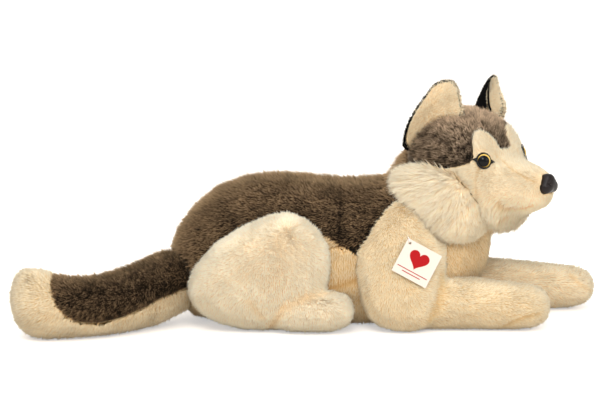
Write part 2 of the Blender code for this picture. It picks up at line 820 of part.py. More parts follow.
def make_nose(head, brown, plastic):
    frame = nose_frame(head)
    nose = nose_form()
    for sign in (-1, 1):
        arc = np.linspace(0, math.pi, 5)
        ball = [(NOSTRIL_RADIUS * math.sin(a), NOSTRIL_RADIUS * math.cos(a)) for a in arc]
        dent = turned("nostril", ball, 8)
        place(dent, Matrix.Translation((sign * 0.26 * NOSE_WIDTH, 0.0, 0.88 * NOSE_DEPTH)))
        combine(nose, dent, "DIFFERENCE")
    place(nose, frame)
    pockets = [place(nose_form(SEAM_GAP, pocket=True), frame)]
    washer = place(washer_form(), frame @ Matrix.Translation((0, 0, EYE_BACK - NOSE_DEPTH)))
    return [finish(nose, "nose", brown), finish(washer, "nose_washer", plastic)], pockets


def make_head(dark, cream, pockets):
    """Splits the head into the dark cap and the cream face, and cuts the pockets into both."""
    face = head_form()
    for pocket in pockets:
        combine(face, pocket, "DIFFERENCE")
    cap = copy_of(face, "cap")
    combine(cap, cap_region(0.0), "INTERSECT")
    combine(face, cap_region(SEAM_GAP), "DIFFERENCE")
    return [finish(cap, "head_crown", dark), finish(face, "head_face", cream)]


def make_ruffs(cream):
    made = []
    for side in ("right", "left"):
        ruff = ruff_form(side)
        combine(ruff, head_form(SEAM_GAP), "DIFFERENCE")
        combine(ruff, torso_form(SEAM_GAP), "DIFFERENCE")
        combine(ruff, front_leg_form(side, SEAM_GAP), "DIFFERENCE")
        made.append(finish(ruff, "cheek_ruff_" + side, cream))
    return made


def ear_leaf(name, side, seat, thickness, spread):
    """One leaf of an ear, from the distance of its seat in front of the ear's middle surface.

    The outline is filled with rings that shrink to its middle. A point moves backwards by
    cup * (1 - across^2), which makes the hollow of the ear, and the leaf thins to its rim.
    Two leaves that face each other use the same rings, so their gap is even.
    """
    front_end, rear_end, tip, cup = EAR_POSES[side]
    front_end, rear_end, tip = (np.array(p) for p in (front_end, rear_end, tip))
    middle = (front_end + rear_end) / 2
    base = (rear_end - front_end) * EAR_WIDTH_SCALE
    rise = (tip - middle) * EAR_HEIGHT_SCALE
    front_end = middle - base / 2
    normal = np.cross(base, rise)
    normal *= np.sign(normal[0]) / np.linalg.norm(normal)
    loop = smooth_loop(EAR_OUTLINE, EAR_SIDES)
    heart = loop.mean(0)
    layers = [(size, thickness * (1 - size**4)) for size in EAR_RINGS]
    layers += [(spread, 0.0)] if spread > 1 else []
    layers += [(1.0, 0.0)] + [(size, 0.0) for size in EAR_RINGS[::-1]]
    points = []
    for size, offset in [(0.0, thickness)] + layers + [(0.0, 0.0)]:
        flat = heart + size * (loop - heart)
        hollow = -cup * (1 - EAR_TIP_FLATTENING * flat[:, 1]) * (1 - (2 * flat[:, 0] - 1) ** 2)
        spot = front_end + flat[:, :1] * base + flat[:, 1:] * rise
        points.append(spot + normal * (hollow + seat + offset)[:, None])
    poles = np.array((points[0][0], points[-1][0]))
    flat = np.vstack(points[1:-1] + [poles])
    return place(make_object(name, flat, closed_faces(len(layers), len(loop))), HEAD_FRAME)


def make_ears(black, lining):
    made = []
    for side in ("right", "left"):
        inner = ear_leaf("inner", side, SEAM_GAP / 2, EAR_LINING, 1.0)
        outer = ear_leaf("outer", side, -SEAM_GAP / 2, -EAR_LEAF, EAR_RIM_SPREAD)
        combine(inner, head_form(SEAM_GAP), "DIFFERENCE")
        combine(outer, head_form(SEAM_GAP), "DIFFERENCE")
        made.append(finish(inner, "ear_" + side + "_inner", lining))
        made.append(finish(outer, "ear_" + side + "_back", black))
    return made


def tag_frame(leg):
    """Where the folded card lies: flat against the upper arm, turned in its own plane."""
    spot = Vector((TAG_X, -2 * TORSO_WIDTH, TAG_Z))
    point, normal = surface_point(leg, spot, Vector((0, 1, 0)))
    middle = point + normal * (TAG_HALF_DEPTH + TAG_CLEARANCE)
    flat = axes_at(middle, normal, Vector((1, 0, 0)))
    return flat @ Matrix.Rotation(TAG_TURN, 4, "Z")


def card_outline():
    """End view of the folded card: two leaves that meet in a round fold, seen along its width."""
    half = TAG_LENGTH / 2
    gap = TAG_MOUTH / 2
    fold = TAG_LEAF
    return [
        (-half, gap + TAG_LEAF),
        (half - fold, TAG_LEAF + fold / 2),
        (half, fold / 2),
        (half, -fold / 2),
        (half - fold, -TAG_LEAF - fold / 2),
        (-half, -gap - TAG_LEAF),
        (-half, -gap),
        (half - 2 * fold, -fold / 4),
        (half - 2 * fold, fold / 4),
        (-half, gap),
    ]


def make_tag_card(frame, card):
    tag = prism("card", card_outline(), -TAG_WIDTH / 2, TAG_WIDTH / 2)
    r = TAG_HOLE_RADIUS
    hole = turned("hole", [(0, CUT_DEPTH), (r, CUT_DEPTH), (r, -CUT_DEPTH), (0, -CUT_DEPTH)], 12)
    combine(tag, place(hole, Matrix.Translation((TAG_HOLE_X, TAG_HOLE_Y, 0))), "DIFFERENCE")
    return finish(place(tag, frame), "hang_tag", card)


def fastener_form(frame, radius):
    """A thin plastic loop: out of the leg beside the card's corner, and back through its hole."""
    out = TAG_HALF_DEPTH
    step = FASTENER_REACH * math.sqrt(0.5)
    end = Vector((TAG_HOLE_X, TAG_HOLE_Y, 0))
    start = end + Vector((-step, step, 0))
    depths = (-out - CUT_DEPTH, -out, 0.2 * out)
    route = [start + Vector((0, 0, depth)) for depth in depths]
    crown = (start + end) / 2
    for share in (-0.7, -0.35, 0.0, 0.35, 0.7):
        lift = out + FASTENER_BOW * (1 - share**2)
        route.append(crown + (end - start) / 2 * share + Vector((0, 0, lift)))
    route += [end + Vector((0, 0, depth)) for depth in depths[::-1]]
    curve = bpy.data.curves.new("fastener", "CURVE")
    curve.dimensions = "3D"
    curve.bevel_depth = radius
    curve.bevel_resolution = 1
    curve.use_fill_caps = True
    line = curve.splines.new("POLY")
    smooth = smooth_rows([tuple(p) for p in route], 14)
    line.points.add(len(smooth) - 1)
    for point, spot in zip(line.points, smooth):
        point.co = (*spot, 1)
    drawn = bpy.data.objects.new("fastener", curve)
    bpy.context.scene.collection.objects.link(drawn)
    seen = drawn.evaluated_get(bpy.context.evaluated_depsgraph_get())
    mesh = bpy.data.meshes.new_from_object(seen)
    points = [tuple(v.co) for v in mesh.vertices]
    faces = [tuple(p.vertices) for p in mesh.polygons]
    bpy.data.objects.remove(drawn)
    return place(make_object("fastener", points, faces), frame)


def make_front_legs(cream):
    made = []
    for side in ("right", "left"):
        leg = front_leg_form(side)
        combine(leg, torso_form(SEAM_GAP), "DIFFERENCE")
        made.append(finish(leg, "front_leg_" + side, cream))
    return made


def make_hind_legs(cream):
    made = []
    for side in ("right", "left"):
        leg = hind_leg_form(side)
        combine(leg, torso_form(SEAM_GAP), "DIFFERENCE")
        made.append(finish(leg, "hind_leg_" + side, cream))
    return made


def make_tag(leg, card, plastic):
    frame = tag_frame(leg)
    combine(leg, fastener_form(frame, FASTENER_RADIUS + SEAM_GAP), "DIFFERENCE")
    tag = make_tag_card(frame, card)
    fastener = finish(fastener_form(frame, FASTENER_RADIUS), "tag_fastener", plastic)
    return [tag, fastener]


def centre_on_floor(made):
    """Moves the whole wolf so that the middle of its outer size is over the origin."""
    corners = np.array([tuple(v.co) for each in made for v in each.data.vertices])
    middle = (corners.max(0) + corners.min(0)) / 2
    for each in made:
        place(each, Matrix.Translation((-middle[0], -middle[1], 0)))


def main():
    for existing in list(bpy.data.objects):
        bpy.data.objects.remove(existing)
    dark = material("dark plush", DARK_PLUSH, 0.95)
    cream = material("cream plush", CREAM_PLUSH, 0.95)
    black = material("black plush", BLACK_PLUSH, 0.9)
    lining = material("ear lining plush", LINING_PLUSH, 0.95)
    glossy = material("eye plastic", EYE_BLACK, 0.08)
    brown = material("nose plastic", NOSE_BROWN, 0.35)
    plastic = material("clear white plastic", WASHER_WHITE, 0.4)
    card = material("card", CARD_WHITE, 0.6)
    head = head_form()
    eyes, eye_pockets = make_eyes(head, glossy, black, plastic)
    nose, nose_pockets = make_nose(head, brown, plastic)
    bpy.data.objects.remove(head)
    front_legs = make_front_legs(cream)
    tag = make_tag(front_legs[0], card, plastic)
    made = make_torso(dark, cream) + front_legs + make_hind_legs(cream) + make_tail(dark, cream)
    made += make_head(dark, cream, eye_pockets + nose_pockets) + make_ruffs(cream)
    made += make_ears(black, lining) + eyes + nose + tag
    centre_on_floor(made)


main()
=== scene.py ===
# %% [markdown]
# # A plush wolf that lies on its belly
# The real toy is sewn from panels of long pile fabric and stuffed with loose fibre. The packed
# CAD model gives each panel's form, up to the tips of the pile. This lesson gives every panel a
# real skin with thousands of small tufts, and then makes the glossy eyes, the moulded nose, the
# seams and the card tag.

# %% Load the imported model
import math

import bpy
import numpy as np
from mathutils import Matrix, Vector
from mathutils.bvhtree import BVHTree


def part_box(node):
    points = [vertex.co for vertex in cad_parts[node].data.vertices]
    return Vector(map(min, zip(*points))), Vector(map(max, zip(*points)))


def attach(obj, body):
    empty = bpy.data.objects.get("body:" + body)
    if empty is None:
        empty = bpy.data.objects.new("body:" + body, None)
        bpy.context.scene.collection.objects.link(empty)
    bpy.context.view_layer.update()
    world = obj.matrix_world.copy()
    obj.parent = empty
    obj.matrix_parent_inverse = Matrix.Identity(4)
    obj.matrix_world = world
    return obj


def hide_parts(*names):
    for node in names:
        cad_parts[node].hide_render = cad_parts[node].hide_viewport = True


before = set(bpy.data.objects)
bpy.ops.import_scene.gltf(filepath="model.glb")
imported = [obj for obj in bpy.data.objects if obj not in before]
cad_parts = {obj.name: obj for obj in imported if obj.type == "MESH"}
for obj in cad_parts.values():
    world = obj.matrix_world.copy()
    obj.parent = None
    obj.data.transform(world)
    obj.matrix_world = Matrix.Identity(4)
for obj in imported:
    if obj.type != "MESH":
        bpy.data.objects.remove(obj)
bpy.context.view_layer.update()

# %% [markdown]
# ## Camera
# The photograph was taken from the wolf's right side, a little above it, through a long lens.
# So the camera looks along +Y from 2.45 m away and 9 degrees up. Its numbers also let a point
# of the picture be followed back to the wolf's surface, which places the seams.

# %% Camera
def in_scene(name, data):
    """An object that holds a camera, a lamp or a mesh, linked to the scene."""
    made = bpy.data.objects.new(name, data)
    bpy.context.scene.collection.objects.link(made)
    return made


PICTURE_WIDTH = 600
PICTURE_HEIGHT = 401
CAMERA_DISTANCE = 2.45
CAMERA_RISE = math.radians(9)
PIXELS_PER_METRE = 976.56
LOOK_AT = Vector((-0.0111, 0.0176, 0.122))
SENSOR = 36.0

camera_forward = Vector((0, math.cos(CAMERA_RISE), -math.sin(CAMERA_RISE)))
camera_right = Vector((1, 0, 0))
camera_up = camera_right.cross(camera_forward)
focal_pixels = CAMERA_DISTANCE * PIXELS_PER_METRE

camera_data = bpy.data.cameras.new("studio camera")
camera_data.sensor_width = SENSOR
camera_data.lens = SENSOR * focal_pixels / PICTURE_WIDTH
camera_data.clip_end = 50
camera = in_scene("studio camera", camera_data)
camera.location = LOOK_AT - camera_forward * CAMERA_DISTANCE
camera.rotation_euler = camera_forward.to_track_quat("-Z", "Y").to_euler()
bpy.context.scene.camera = camera
print("lens in mm:", round(camera_data.lens, 1))


def ray_through(column, row):
    """Direction from the camera through one point of the picture, counted from its top left."""
    across = camera_right * (column - PICTURE_WIDTH / 2)
    down = camera_up * (PICTURE_HEIGHT / 2 - row)
    return (camera_forward * focal_pixels + across + down).normalized()


# %% [markdown]
# ## Colours and materials
# Colours are sRGB codes, which one function turns to the linear numbers that Blender works with.
# Another adds a node with its settings and links. Every material is made with these two.

# %% Colour and node helpers
def linear(code):
    """Linear RGBA from an sRGB code: a straight line near black and a power of 2.4 above it."""
    parts = [int(code[i : i + 2], 16) / 255 for i in (1, 3, 5)]
    return [c / 12.92 if c < 0.04045 else ((c + 0.055) / 1.055) ** 2.4 for c in parts] + [1.0]


def add_node(tree, kind, inputs=None, **settings):
    """Adds a node, sets its settings, and gives each named input a link or a value."""
    node = tree.nodes.new(kind)
    for name, value in settings.items():
        setattr(node, name, value)
    for name, value in (inputs or {}).items():
        if isinstance(value, bpy.types.NodeSocket):
            tree.links.new(value, node.inputs[name])
        else:
            node.inputs[name].default_value = value
    return node


def new_material(name, values):
    """A material whose shader's own sockets hold its even values, such as roughness."""
    made = bpy.data.materials.new(name)
    made.use_nodes = True
    shader = made.node_tree.nodes["Principled BSDF"]
    for socket, value in values.items():
        shader.inputs[socket].default_value = value
    return made, made.node_tree, shader


# %% [markdown]
# ## Even skins
# A CAD panel is a few hundred large triangles. Pile needs a ground of small and even ones, so a
# copy of each panel is welded, rebuilt on cubes about 2 mm wide, and cut into triangles. A node
# group adds what the pile has to know at each point: how far away the neighbouring panel is
# along the normal, and which closed shell the point is in.

# %% Meshes as arrays
def read(things, name, kind, width=1):
    """One property of all points, corners or faces as one flat array."""
    values = np.empty(width * len(things), kind)
    things.foreach_get(name, values)
    return values


def mesh_arrays(mesh):
    """Points and triangles of a mesh as two arrays."""
    points = read(mesh.vertices, "co", np.float32, 3).reshape(-1, 3).astype(float)
    return points, read(mesh.loops, "vertex_index", np.int32).reshape(-1, 3)


def mesh_object(name, points, faces):
    """An object at the origin, from an array of points and an array of triangles or quads."""
    mesh = bpy.data.meshes.new(name)
    mesh.from_pydata(points, [], faces)
    mesh.update()
    return in_scene(name, mesh)


# %% [markdown]
# A ray from each point looks for the neighbours. It starts a little under the skin, because
# packed panels touch.

# %% Room and shells
START_DEPTH = 0.002
FAR = 0.05


def store(tree, geometry, name, value, kind):
    """Adds a node that keeps one value a point under a name."""
    values = {"Geometry": geometry, "Name": name, "Value": value}
    return add_node(tree, "GeometryNodeStoreNamedAttribute", values, data_type=kind).outputs[0]


def room_group(neighbours, start_depth):
    """Stores two attributes: room, the way along the normal to the neighbours, and shell."""
    tree = bpy.data.node_groups.new("room", "GeometryNodeTree")
    for way in ("INPUT", "OUTPUT"):
        tree.interface.new_socket("Geometry", in_out=way, socket_type="NodeSocketGeometry")
    start = add_node(tree, "NodeGroupInput").outputs[0]
    normal = add_node(tree, "GeometryNodeInputNormal").outputs[0]
    position = add_node(tree, "GeometryNodeInputPosition").outputs[0]
    near = add_node(tree, "GeometryNodeObjectInfo", {"Object": neighbours}).outputs["Geometry"]
    back = {0: normal, "Scale": -start_depth}
    inside = add_node(tree, "ShaderNodeVectorMath", back, operation="SCALE").outputs[0]
    source = add_node(tree, "ShaderNodeVectorMath", {0: position, 1: inside}).outputs[0]
    aim = {"Target Geometry": near, "Source Position": source, "Ray Direction": normal, "Ray Length": FAR}
    ray = add_node(tree, "GeometryNodeRaycast", aim).outputs
    hit = {"Switch": ray["Is Hit"], "False": FAR, "True": ray["Hit Distance"]}
    found = add_node(tree, "GeometryNodeSwitch", hit, input_type="FLOAT").outputs[0]
    island = add_node(tree, "GeometryNodeInputMeshIsland").outputs["Island Index"]
    kept = store(tree, start, "room", found, "FLOAT")
    add_node(tree, "NodeGroupOutput", {"Geometry": store(tree, kept, "shell", island, "INT")})
    return tree


def neighbours_of(own):
    """All other panels and parts that show, in one object for the rays to meet."""
    points, faces, count = [], [], 0
    for name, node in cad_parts.items():
        if name == own or "washer" in name:
            continue
        some, triangles = mesh_arrays(node.data)
        points.append(some)
        faces.append(triangles + count)
        count += len(some)
    return mesh_object("neighbours", np.concatenate(points), np.concatenate(faces))


# %% [markdown]
# Cubes can leave a small inner shell where a panel is hollow. Only the largest one is kept.

# %% Even skin
def with_room(made, node, start_depth=START_DEPTH):
    """Points, triangles and room of a panel's new form. The object is used up."""
    others = neighbours_of(node)
    rays = made.modifiers.new("room", "NODES")
    rays.node_group = room_group(others, start_depth)
    mesh = made.evaluated_get(bpy.context.evaluated_depsgraph_get()).to_mesh()
    points, triangles = mesh_arrays(mesh)
    room = read(mesh.attributes["room"].data, "value", np.float32)
    shell = read(mesh.attributes["shell"].data, "value", np.int32)
    bpy.data.node_groups.remove(rays.node_group)
    bpy.data.objects.remove(made)
    bpy.data.objects.remove(others)
    kept = shell == np.bincount(shell).argmax()
    index = np.cumsum(kept) - 1
    triangles = index[triangles[kept[triangles].all(1)]]
    return points[kept], triangles, room[kept] - start_depth


def weld(made):
    """Joins points that lie in one place."""
    made.modifiers.new("weld", "WELD").merge_threshold = 0.00001


def even_skin(node, cube):
    """A panel welded, rebuilt on small cubes and cut into triangles."""
    made = in_scene("skin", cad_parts[node].data.copy())
    weld(made)
    cubes = made.modifiers.new("cubes", "REMESH")
    cubes.mode = "VOXEL"
    cubes.voxel_size = cube
    made.modifiers.new("triangles", "TRIANGULATE")
    return with_room(made, node)


# %% [markdown]
# ## Fields on a skin
# Pile is driven by fields: values at every point, held as whole arrays. Averaging each point
# with its neighbours turns a hard field into a soft one. Sine waves in random directions give
# smooth noise of a chosen size, for the way that real pile drifts, gathers and changes in tone.

# %% Fields
def edges_of(triangles):
    """Each edge once, as a pair of points."""
    pairs = np.sort(triangles[:, [0, 1, 1, 2, 2, 0]].reshape(-1, 2), axis=1)
    return np.unique(pairs, axis=0)


def totals(index, rows, count):
    """Rows of numbers added up by the index that each row has."""
    return np.stack([np.bincount(index, column, count) for column in rows.T], 1)


def blend_out(values, edges, rounds, share=0.5):
    """Moves each value by a share of the way to the mean of its neighbours, some rounds long."""
    values = np.asarray(values, float)
    flat = values.reshape(len(values), -1)
    a, b = edges.T
    count = np.bincount(edges.ravel(), minlength=len(flat)).clip(1)
    for _ in range(rounds):
        total = totals(a, flat[b], len(flat)) + totals(b, flat[a], len(flat))
        flat = flat + share * (total / count[:, None] - flat)
    return flat.reshape(values.shape)


def unit(vectors):
    """Vectors divided by their lengths."""
    return vectors / np.maximum(np.linalg.norm(vectors, axis=-1, keepdims=True), 1e-12)


def normals_of(points, triangles):
    """Each point's normal: the sum of its triangles' normals, which are as long as their area."""
    a, b, c = (points[triangles[:, k]] for k in range(3))
    faces = np.cross(b - a, c - a)
    return unit(totals(triangles.ravel(), np.repeat(faces, 3, axis=0), len(points)))


def drift(points, size, seed):
    """Smooth noise, mostly from -1 to 1: twelve sine waves about size long, added and scaled."""
    random = np.random.default_rng(seed)
    waves = unit(random.normal(size=(12, 3))) * 2 * math.pi / (size * random.uniform(0.6, 1.5, (12, 1)))
    return np.sin(points @ waves.T + random.uniform(0, 2 * math.pi, 12)).sum(1) / 4


def drift_vector(points, size, seed):
    """Three kinds of smooth noise as one vector a point."""
    return np.stack([drift(points, size, seed + k) for k in range(3)], 1)


def ease(value, low, high):
    """Rises from 0 at low to 1 at high, level at both ends."""
    share = np.clip((value - low) / (high - low), 0, 1)
    return share * share * (3 - 2 * share)


# %% [markdown]
# ## The head's own directions
# The head is turned 36 degrees, so places on the face are easiest to say in its own frame:
# forwards to the nose, sideways and up, from where it turns on the neck.

# %% Head frame
HEAD_PLACE = Vector((0.14925, 0.0136, 0.161))
head_frame = Matrix.Translation(HEAD_PLACE) @ Matrix.Rotation(math.radians(-36), 4, "Z")
head_turn = np.array(head_frame.to_3x3())


def head_point(along, sideways, up):
    """A place in the scene, from one in the head's frame."""
    return np.array(head_frame @ Vector((along, sideways, up)))


def in_head(points):
    """Places in the head's frame: forwards, sideways and up."""
    return (points - np.array(HEAD_PLACE)) @ head_turn


def from_head(places):
    """Points of the scene, from places in the head's frame."""
    return places @ head_turn.T + np.array(HEAD_PLACE)


eye_places = [np.array(sum(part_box(node), Vector()) / 2) for node in ("eye_right", "eye_left")]
nose_place = np.array(sum(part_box("nose"), Vector()) / 2)
print("eyes at", [place.round(4) for place in eye_places], "nose at", nose_place.round(4))

# %% [markdown]
# ## Seams and folds
# A seam's points are given in the picture, followed along rays to the panel's CAD surface, and
# joined by straight lines. Near such a line the skin sinks and the pile gets shorter, as where a
# thread draws plush in, and its colour darkens: painted shade along the seam or fold.

# %% Seams
# Each line's picture points, width and strength; the strength also sets the painted shade along it.
SEAMS = {
    "torso_belly": [(((322, 290), (334, 287), (346, 283), (358, 279)), 0.0030, 0.6)],
    "torso_back": [(((341, 176), (343, 190), (344, 205), (344, 222), (343, 240)), 0.0022, 0.22)],
    "front_leg_right": [
        (((501, 327), (512, 322), (524, 317), (538, 314), (553, 310)), 0.0020, 0.5),
        (((443, 276), (441, 292), (436, 308), (429, 322)), 0.0050, 0.35),
    ],
    "front_leg_left": [(((569, 274), (576, 281), (584, 288), (592, 292)), 0.0020, 0.5)],
    "hind_leg_right": [
        (((250, 302), (256, 310), (263, 318)), 0.0035, 0.35),
        (((334, 291), (322, 293), (308, 296), (296, 301), (286, 307)), 0.0040, 0.45),
        (((284, 306), (279, 314), (274, 322), (271, 330)), 0.0035, 0.5),
    ],
    "head_face": [
        (((498, 155), (506, 162), (516, 170), (527, 177), (536, 181)), 0.0012, 0.55),
        (((480, 168), (478, 178), (478, 190), (481, 203), (484, 211)), 0.0012, 0.45),
        (((501, 203), (508, 208), (517, 210), (526, 209), (534, 205)), 0.0013, 1.0),
        (((482, 210), (491, 215), (500, 217), (510, 215)), 0.0022, 0.6),
    ],
}


def surface_line(node, pixels):
    """Points on a panel's CAD surface that show at these places in the picture."""
    points, triangles = mesh_arrays(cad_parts[node].data)
    tree = BVHTree.FromPolygons(points.tolist(), triangles.tolist())
    hits = [tree.ray_cast(camera.location, ray_through(*pixel))[0] for pixel in pixels]
    return np.array([hit for hit in hits if hit is not None])


def distance_to_line(points, line):
    """How far each point is from the nearest straight part of the line."""
    best = np.full(len(points), np.inf)
    for start, end in zip(line[:-1], line[1:]):
        along = end - start
        share = np.clip((points - start) @ along / (along @ along), 0, 1)
        best = np.minimum(best, np.linalg.norm(points - start - share[:, None] * along, axis=1))
    return best


def seam_depth(node, points):
    """From 0 to 1: how much a seam draws the skin in and paints shade at each point, as exp(-(distance /
    width)^2).
    """
    seam_pull_and_shade = np.zeros(len(points))
    for pixels, width, strength in SEAMS.get(node, ()):
        line = surface_line(node, pixels)
        lines = [line]
        if node == "head_face":
            lines.append(from_head(in_head(line) * (1, -1, 1)))
        for each in lines:
            seam_pull_and_shade = np.maximum(seam_pull_and_shade, strength * np.exp(-((distance_to_line(points, each) / width) ** 2)))
    return seam_pull_and_shade


# %% [markdown]
# ## Pile
# Real pile is many thousands of fibres that hang together in small tufts. Hair curves are lost
# when a model is exported, so every small triangle of the skin is raised to a slender point:
# three faces a tuft, with no loose parts, and the whole coat stays one closed surface.

# %% Strands
def comb_along(x, y, z):
    """Pile that lies one way all over."""
    return lambda points: np.broadcast_to((x, y, z), points.shape)


def comb_from(place):
    """Pile that runs away from one place."""
    return lambda points: unit(points - np.asarray(place))


def field(value, points):
    """One value a point, from a number or from a function of the points."""
    return np.broadcast_to(value(points) if callable(value) else value, len(points))


def strand_directions(points, normals, tilt, comb, wander, seed):
    """Unit(normal * cos(tilt) + way * sin(tilt)), where the way never points into the skin."""
    way = comb(points) + wander * drift_vector(points, 0.035, seed)
    way = way - np.minimum((way * normals).sum(1, keepdims=True), 0) * normals
    way = way / np.maximum(np.linalg.norm(way, axis=1, keepdims=True), 0.35)
    tilt = tilt[:, None]
    return unit(normals * np.cos(tilt) + way * np.sin(tilt))


# %% [markdown]
# The skin lies deeper than the CAD surface by the height of its pile, so the tips end on it.
# Where two panels meet the pile gets shorter, and the normals are blended from the open skin.

# %% Sinking the skin
DEEPEST = 0.009
SEAM_SINK = 0.003
SEAM_SHORTENING = 0.75
FLOOR_GAP = 0.0004


def floor_room(points, normals):
    """How far the floor is along a normal that points down."""
    return np.where(normals[:, 2] < -0.25, points[:, 2] / np.maximum(-normals[:, 2], 0.01), FAR)


def sink_skin(node, skin, length, lean, comb, wander, sink, clear, seed):
    """The roots, and at each its soft normal, open share, seam's pull, tilt and pile length."""
    points, triangles, room = skin
    edges = edges_of(triangles)
    normals = normals_of(points, triangles)
    open_air = ease(np.minimum(room, floor_room(points, normals)), *clear)
    soft = unit(blend_out(normals * (open_air[:, None] + 0.02), edges, 12))
    free = blend_out(open_air, edges, 2)
    near = np.clip(4 * blend_out(open_air, edges, 6), 0, 1)
    seam = seam_depth(node, points)
    full = field(length, points) * (1 - SEAM_SHORTENING * seam)
    tilt = field(lean, points)
    height = (strand_directions(points, soft, tilt, comb, wander, seed) * soft).sum(1)
    depth = sink * np.minimum(full, DEEPEST) * height * near + SEAM_SINK * seam * free
    roots = points - soft * depth[:, None]
    roots[:, 2] = np.maximum(roots[:, 2], np.minimum(points[:, 2], FLOOR_GAP))
    return roots, soft, free, seam, tilt, full * np.clip(5 * free, 0, 1)


# %% [markdown]
# Lengths and directions vary, and one tuft in eight is a longer and steeper guard tuft. Tips in
# one small patch are then drawn together, as combed pile gathers.

# %% Tips
GUARD_SHARE = 0.12
GUARD_LENGTH = 1.3
LIFT = 0.35
LOWEST_TIP = 0.0003


def tuft_tips(middle, normal, reach, tilt, comb, wander, loose, seed, random):
    """Each tuft's length, and its tip: middle + direction * length."""
    count = len(middle)
    reach = reach * random.uniform(1 - 2 * loose, 1 + loose, count)
    strand = strand_directions(middle, normal, tilt, comb, wander, seed)
    guard = random.random(count) < GUARD_SHARE
    reach = reach * np.where(guard, GUARD_LENGTH, 1.0)
    lift = random.uniform(-LIFT, LIFT, count) + LIFT * guard
    strand = unit(strand + lift[:, None] * normal + random.normal(size=(count, 3)) * loose)
    return reach, middle + strand * reach[:, None]


def gathered(tips, middle, gather, patch, seed):
    """Tips moved a share of the way to the mean tip of their patch."""
    warped = middle + 0.6 * patch * drift_vector(middle, 3 * patch, seed + 7)
    cells = np.floor(warped / patch).astype(np.int64) @ np.array((1, 4096, 4096**2))
    home = np.unique(cells, return_inverse=True)[1].ravel()
    members = np.bincount(home)
    centre = totals(home, tips, len(members)) / members[:, None]
    tips = tips + gather * (centre[home] - tips)
    tips[:, 2] = np.maximum(tips[:, 2], LOWEST_TIP)
    return tips


# %% [markdown]
# Every tuft gets its own small place on a map. U holds its tone, and V runs from its root to its
# tip. At a seam the tone drops and V stops short of the pale tip: painted shade in the crease.

# %% The tufts' map
MAP = "OFBake"
TONE_WIDTH = 0.006
ROOT_TO_TIP = np.array((0.14, 0.14, 0.98))
LEVEL = (0.40, 0.40, 0.45)
TUFT_CHANGE = 0.13
SIDE_CHANGE = 0.10
SLOW_CHANGE = 0.08
PAINTED_SEAM_SHADE = 0.35
TONE_ENDS = (0.02, 0.98)


def tuft_map(middle, tone, seam_pull_and_shade, raised, level, seed, random):
    """U and V of every face corner: first the tufts' sides, then the faces that stay level."""
    shade = 0.5 + field(tone, middle) + TUFT_CHANGE * random.normal(size=len(middle))
    shade += SLOW_CHANGE * drift(middle, 0.030, seed + 11) + SLOW_CHANGE * drift(middle, 0.007, seed + 13)
    # Seams lower the tone: painted shade in the crease.
    shade = np.clip(shade - PAINTED_SEAM_SHADE * seam_pull_and_shade, *TONE_ENDS)
    sides = shade[raised, None] + SIDE_CHANGE * random.normal(size=(len(raised), 3))
    sides = np.clip(sides, *TONE_ENDS)
    across = np.array((-TONE_WIDTH, TONE_WIDTH, 0))
    u = np.concatenate((sides.reshape(-1, 1) + across, shade[level, None] + across))
    # At a seam V stops short of the pale tip: more painted shade in the crease.
    held = np.repeat(1 - seam_pull_and_shade[raised], 3)[:, None]
    v = np.concatenate((held * ROOT_TO_TIP, np.tile(LEVEL, (len(level), 1))))
    return np.stack((u.ravel(), v.ravel()), 1)


# %% [markdown]
# Now the panel is put together. A tuft's tip shades mostly by the skin's soft normal, so the
# coat looks like one soft mass and not like spikes.

# %% Raising the pile
LEAST_FREE = 0.1
LEAST_TUFT = 0.0004
pile_report = {}


def raise_pile(
    name, node, skin, length, lean, comb, material, slot, gather, patch, tone=0.0,
    wander=0.3, loose=0.12, sink=0.9, clear=(0.0003, 0.0020), seed=1,
):
    """One panel's skin and pile as one closed surface: each visible triangle gets a tip."""
    roots, soft, free, seam, tilt, long = sink_skin(node, skin, length, lean, comb, wander, sink, clear, seed)
    triangles = skin[1]
    middle = roots[triangles].mean(1)
    normal = unit(soft[triangles].mean(1))
    random = np.random.default_rng(seed + 50)
    reach, tilt = long[triangles].mean(1), tilt[triangles].mean(1)
    reach, tips = tuft_tips(middle, normal, reach, tilt, comb, wander, loose, seed, random)
    tips = gathered(tips, middle, gather, patch, seed)

    raised = np.flatnonzero((free[triangles].mean(1) > LEAST_FREE) & (reach > LEAST_TUFT))
    level = np.setdiff1d(np.arange(len(triangles)), raised)
    a, b, c = triangles[raised].T
    tip = len(roots) + np.arange(len(raised))
    sides = np.stack((a, b, tip, b, c, tip, c, a, tip), 1).reshape(-1, 3)
    faces = np.concatenate((sides, triangles[level]))

    made = mesh_object(name, np.concatenate((roots, tips[raised])), faces)
    made.data.shade_smooth()
    corners = tuft_map(middle, tone, seam[triangles].mean(1), raised, level, seed, random)
    layer = made.data.uv_layers.new(name=MAP, do_init=False)
    layer.uv.foreach_set("vector", corners.astype(np.float32).ravel())
    aim = unit(tips[raised] - middle[raised])
    tip_normals = unit(0.8 * normal[raised] + 0.35 * aim)
    made.data.normals_split_custom_set_from_vertices(np.concatenate((soft, tip_normals)))
    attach(made, "root")
    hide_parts(node)
    made.data.materials.append(material)
    pile_report[name] = (len(raised), len(faces))
    print(name, "has", len(raised), "tufts in", len(faces), "faces")
    return made


# %% [markdown]
# ## Plush materials
# Plush is polyester pile on a knitted ground. A coat glows at its edges, where light passes along
# many fibres, so the shader gets sheen. A ramp along V of the tufts' map gives the colour from
# the dark root to the pale tip, and U makes a tuft lighter or darker.

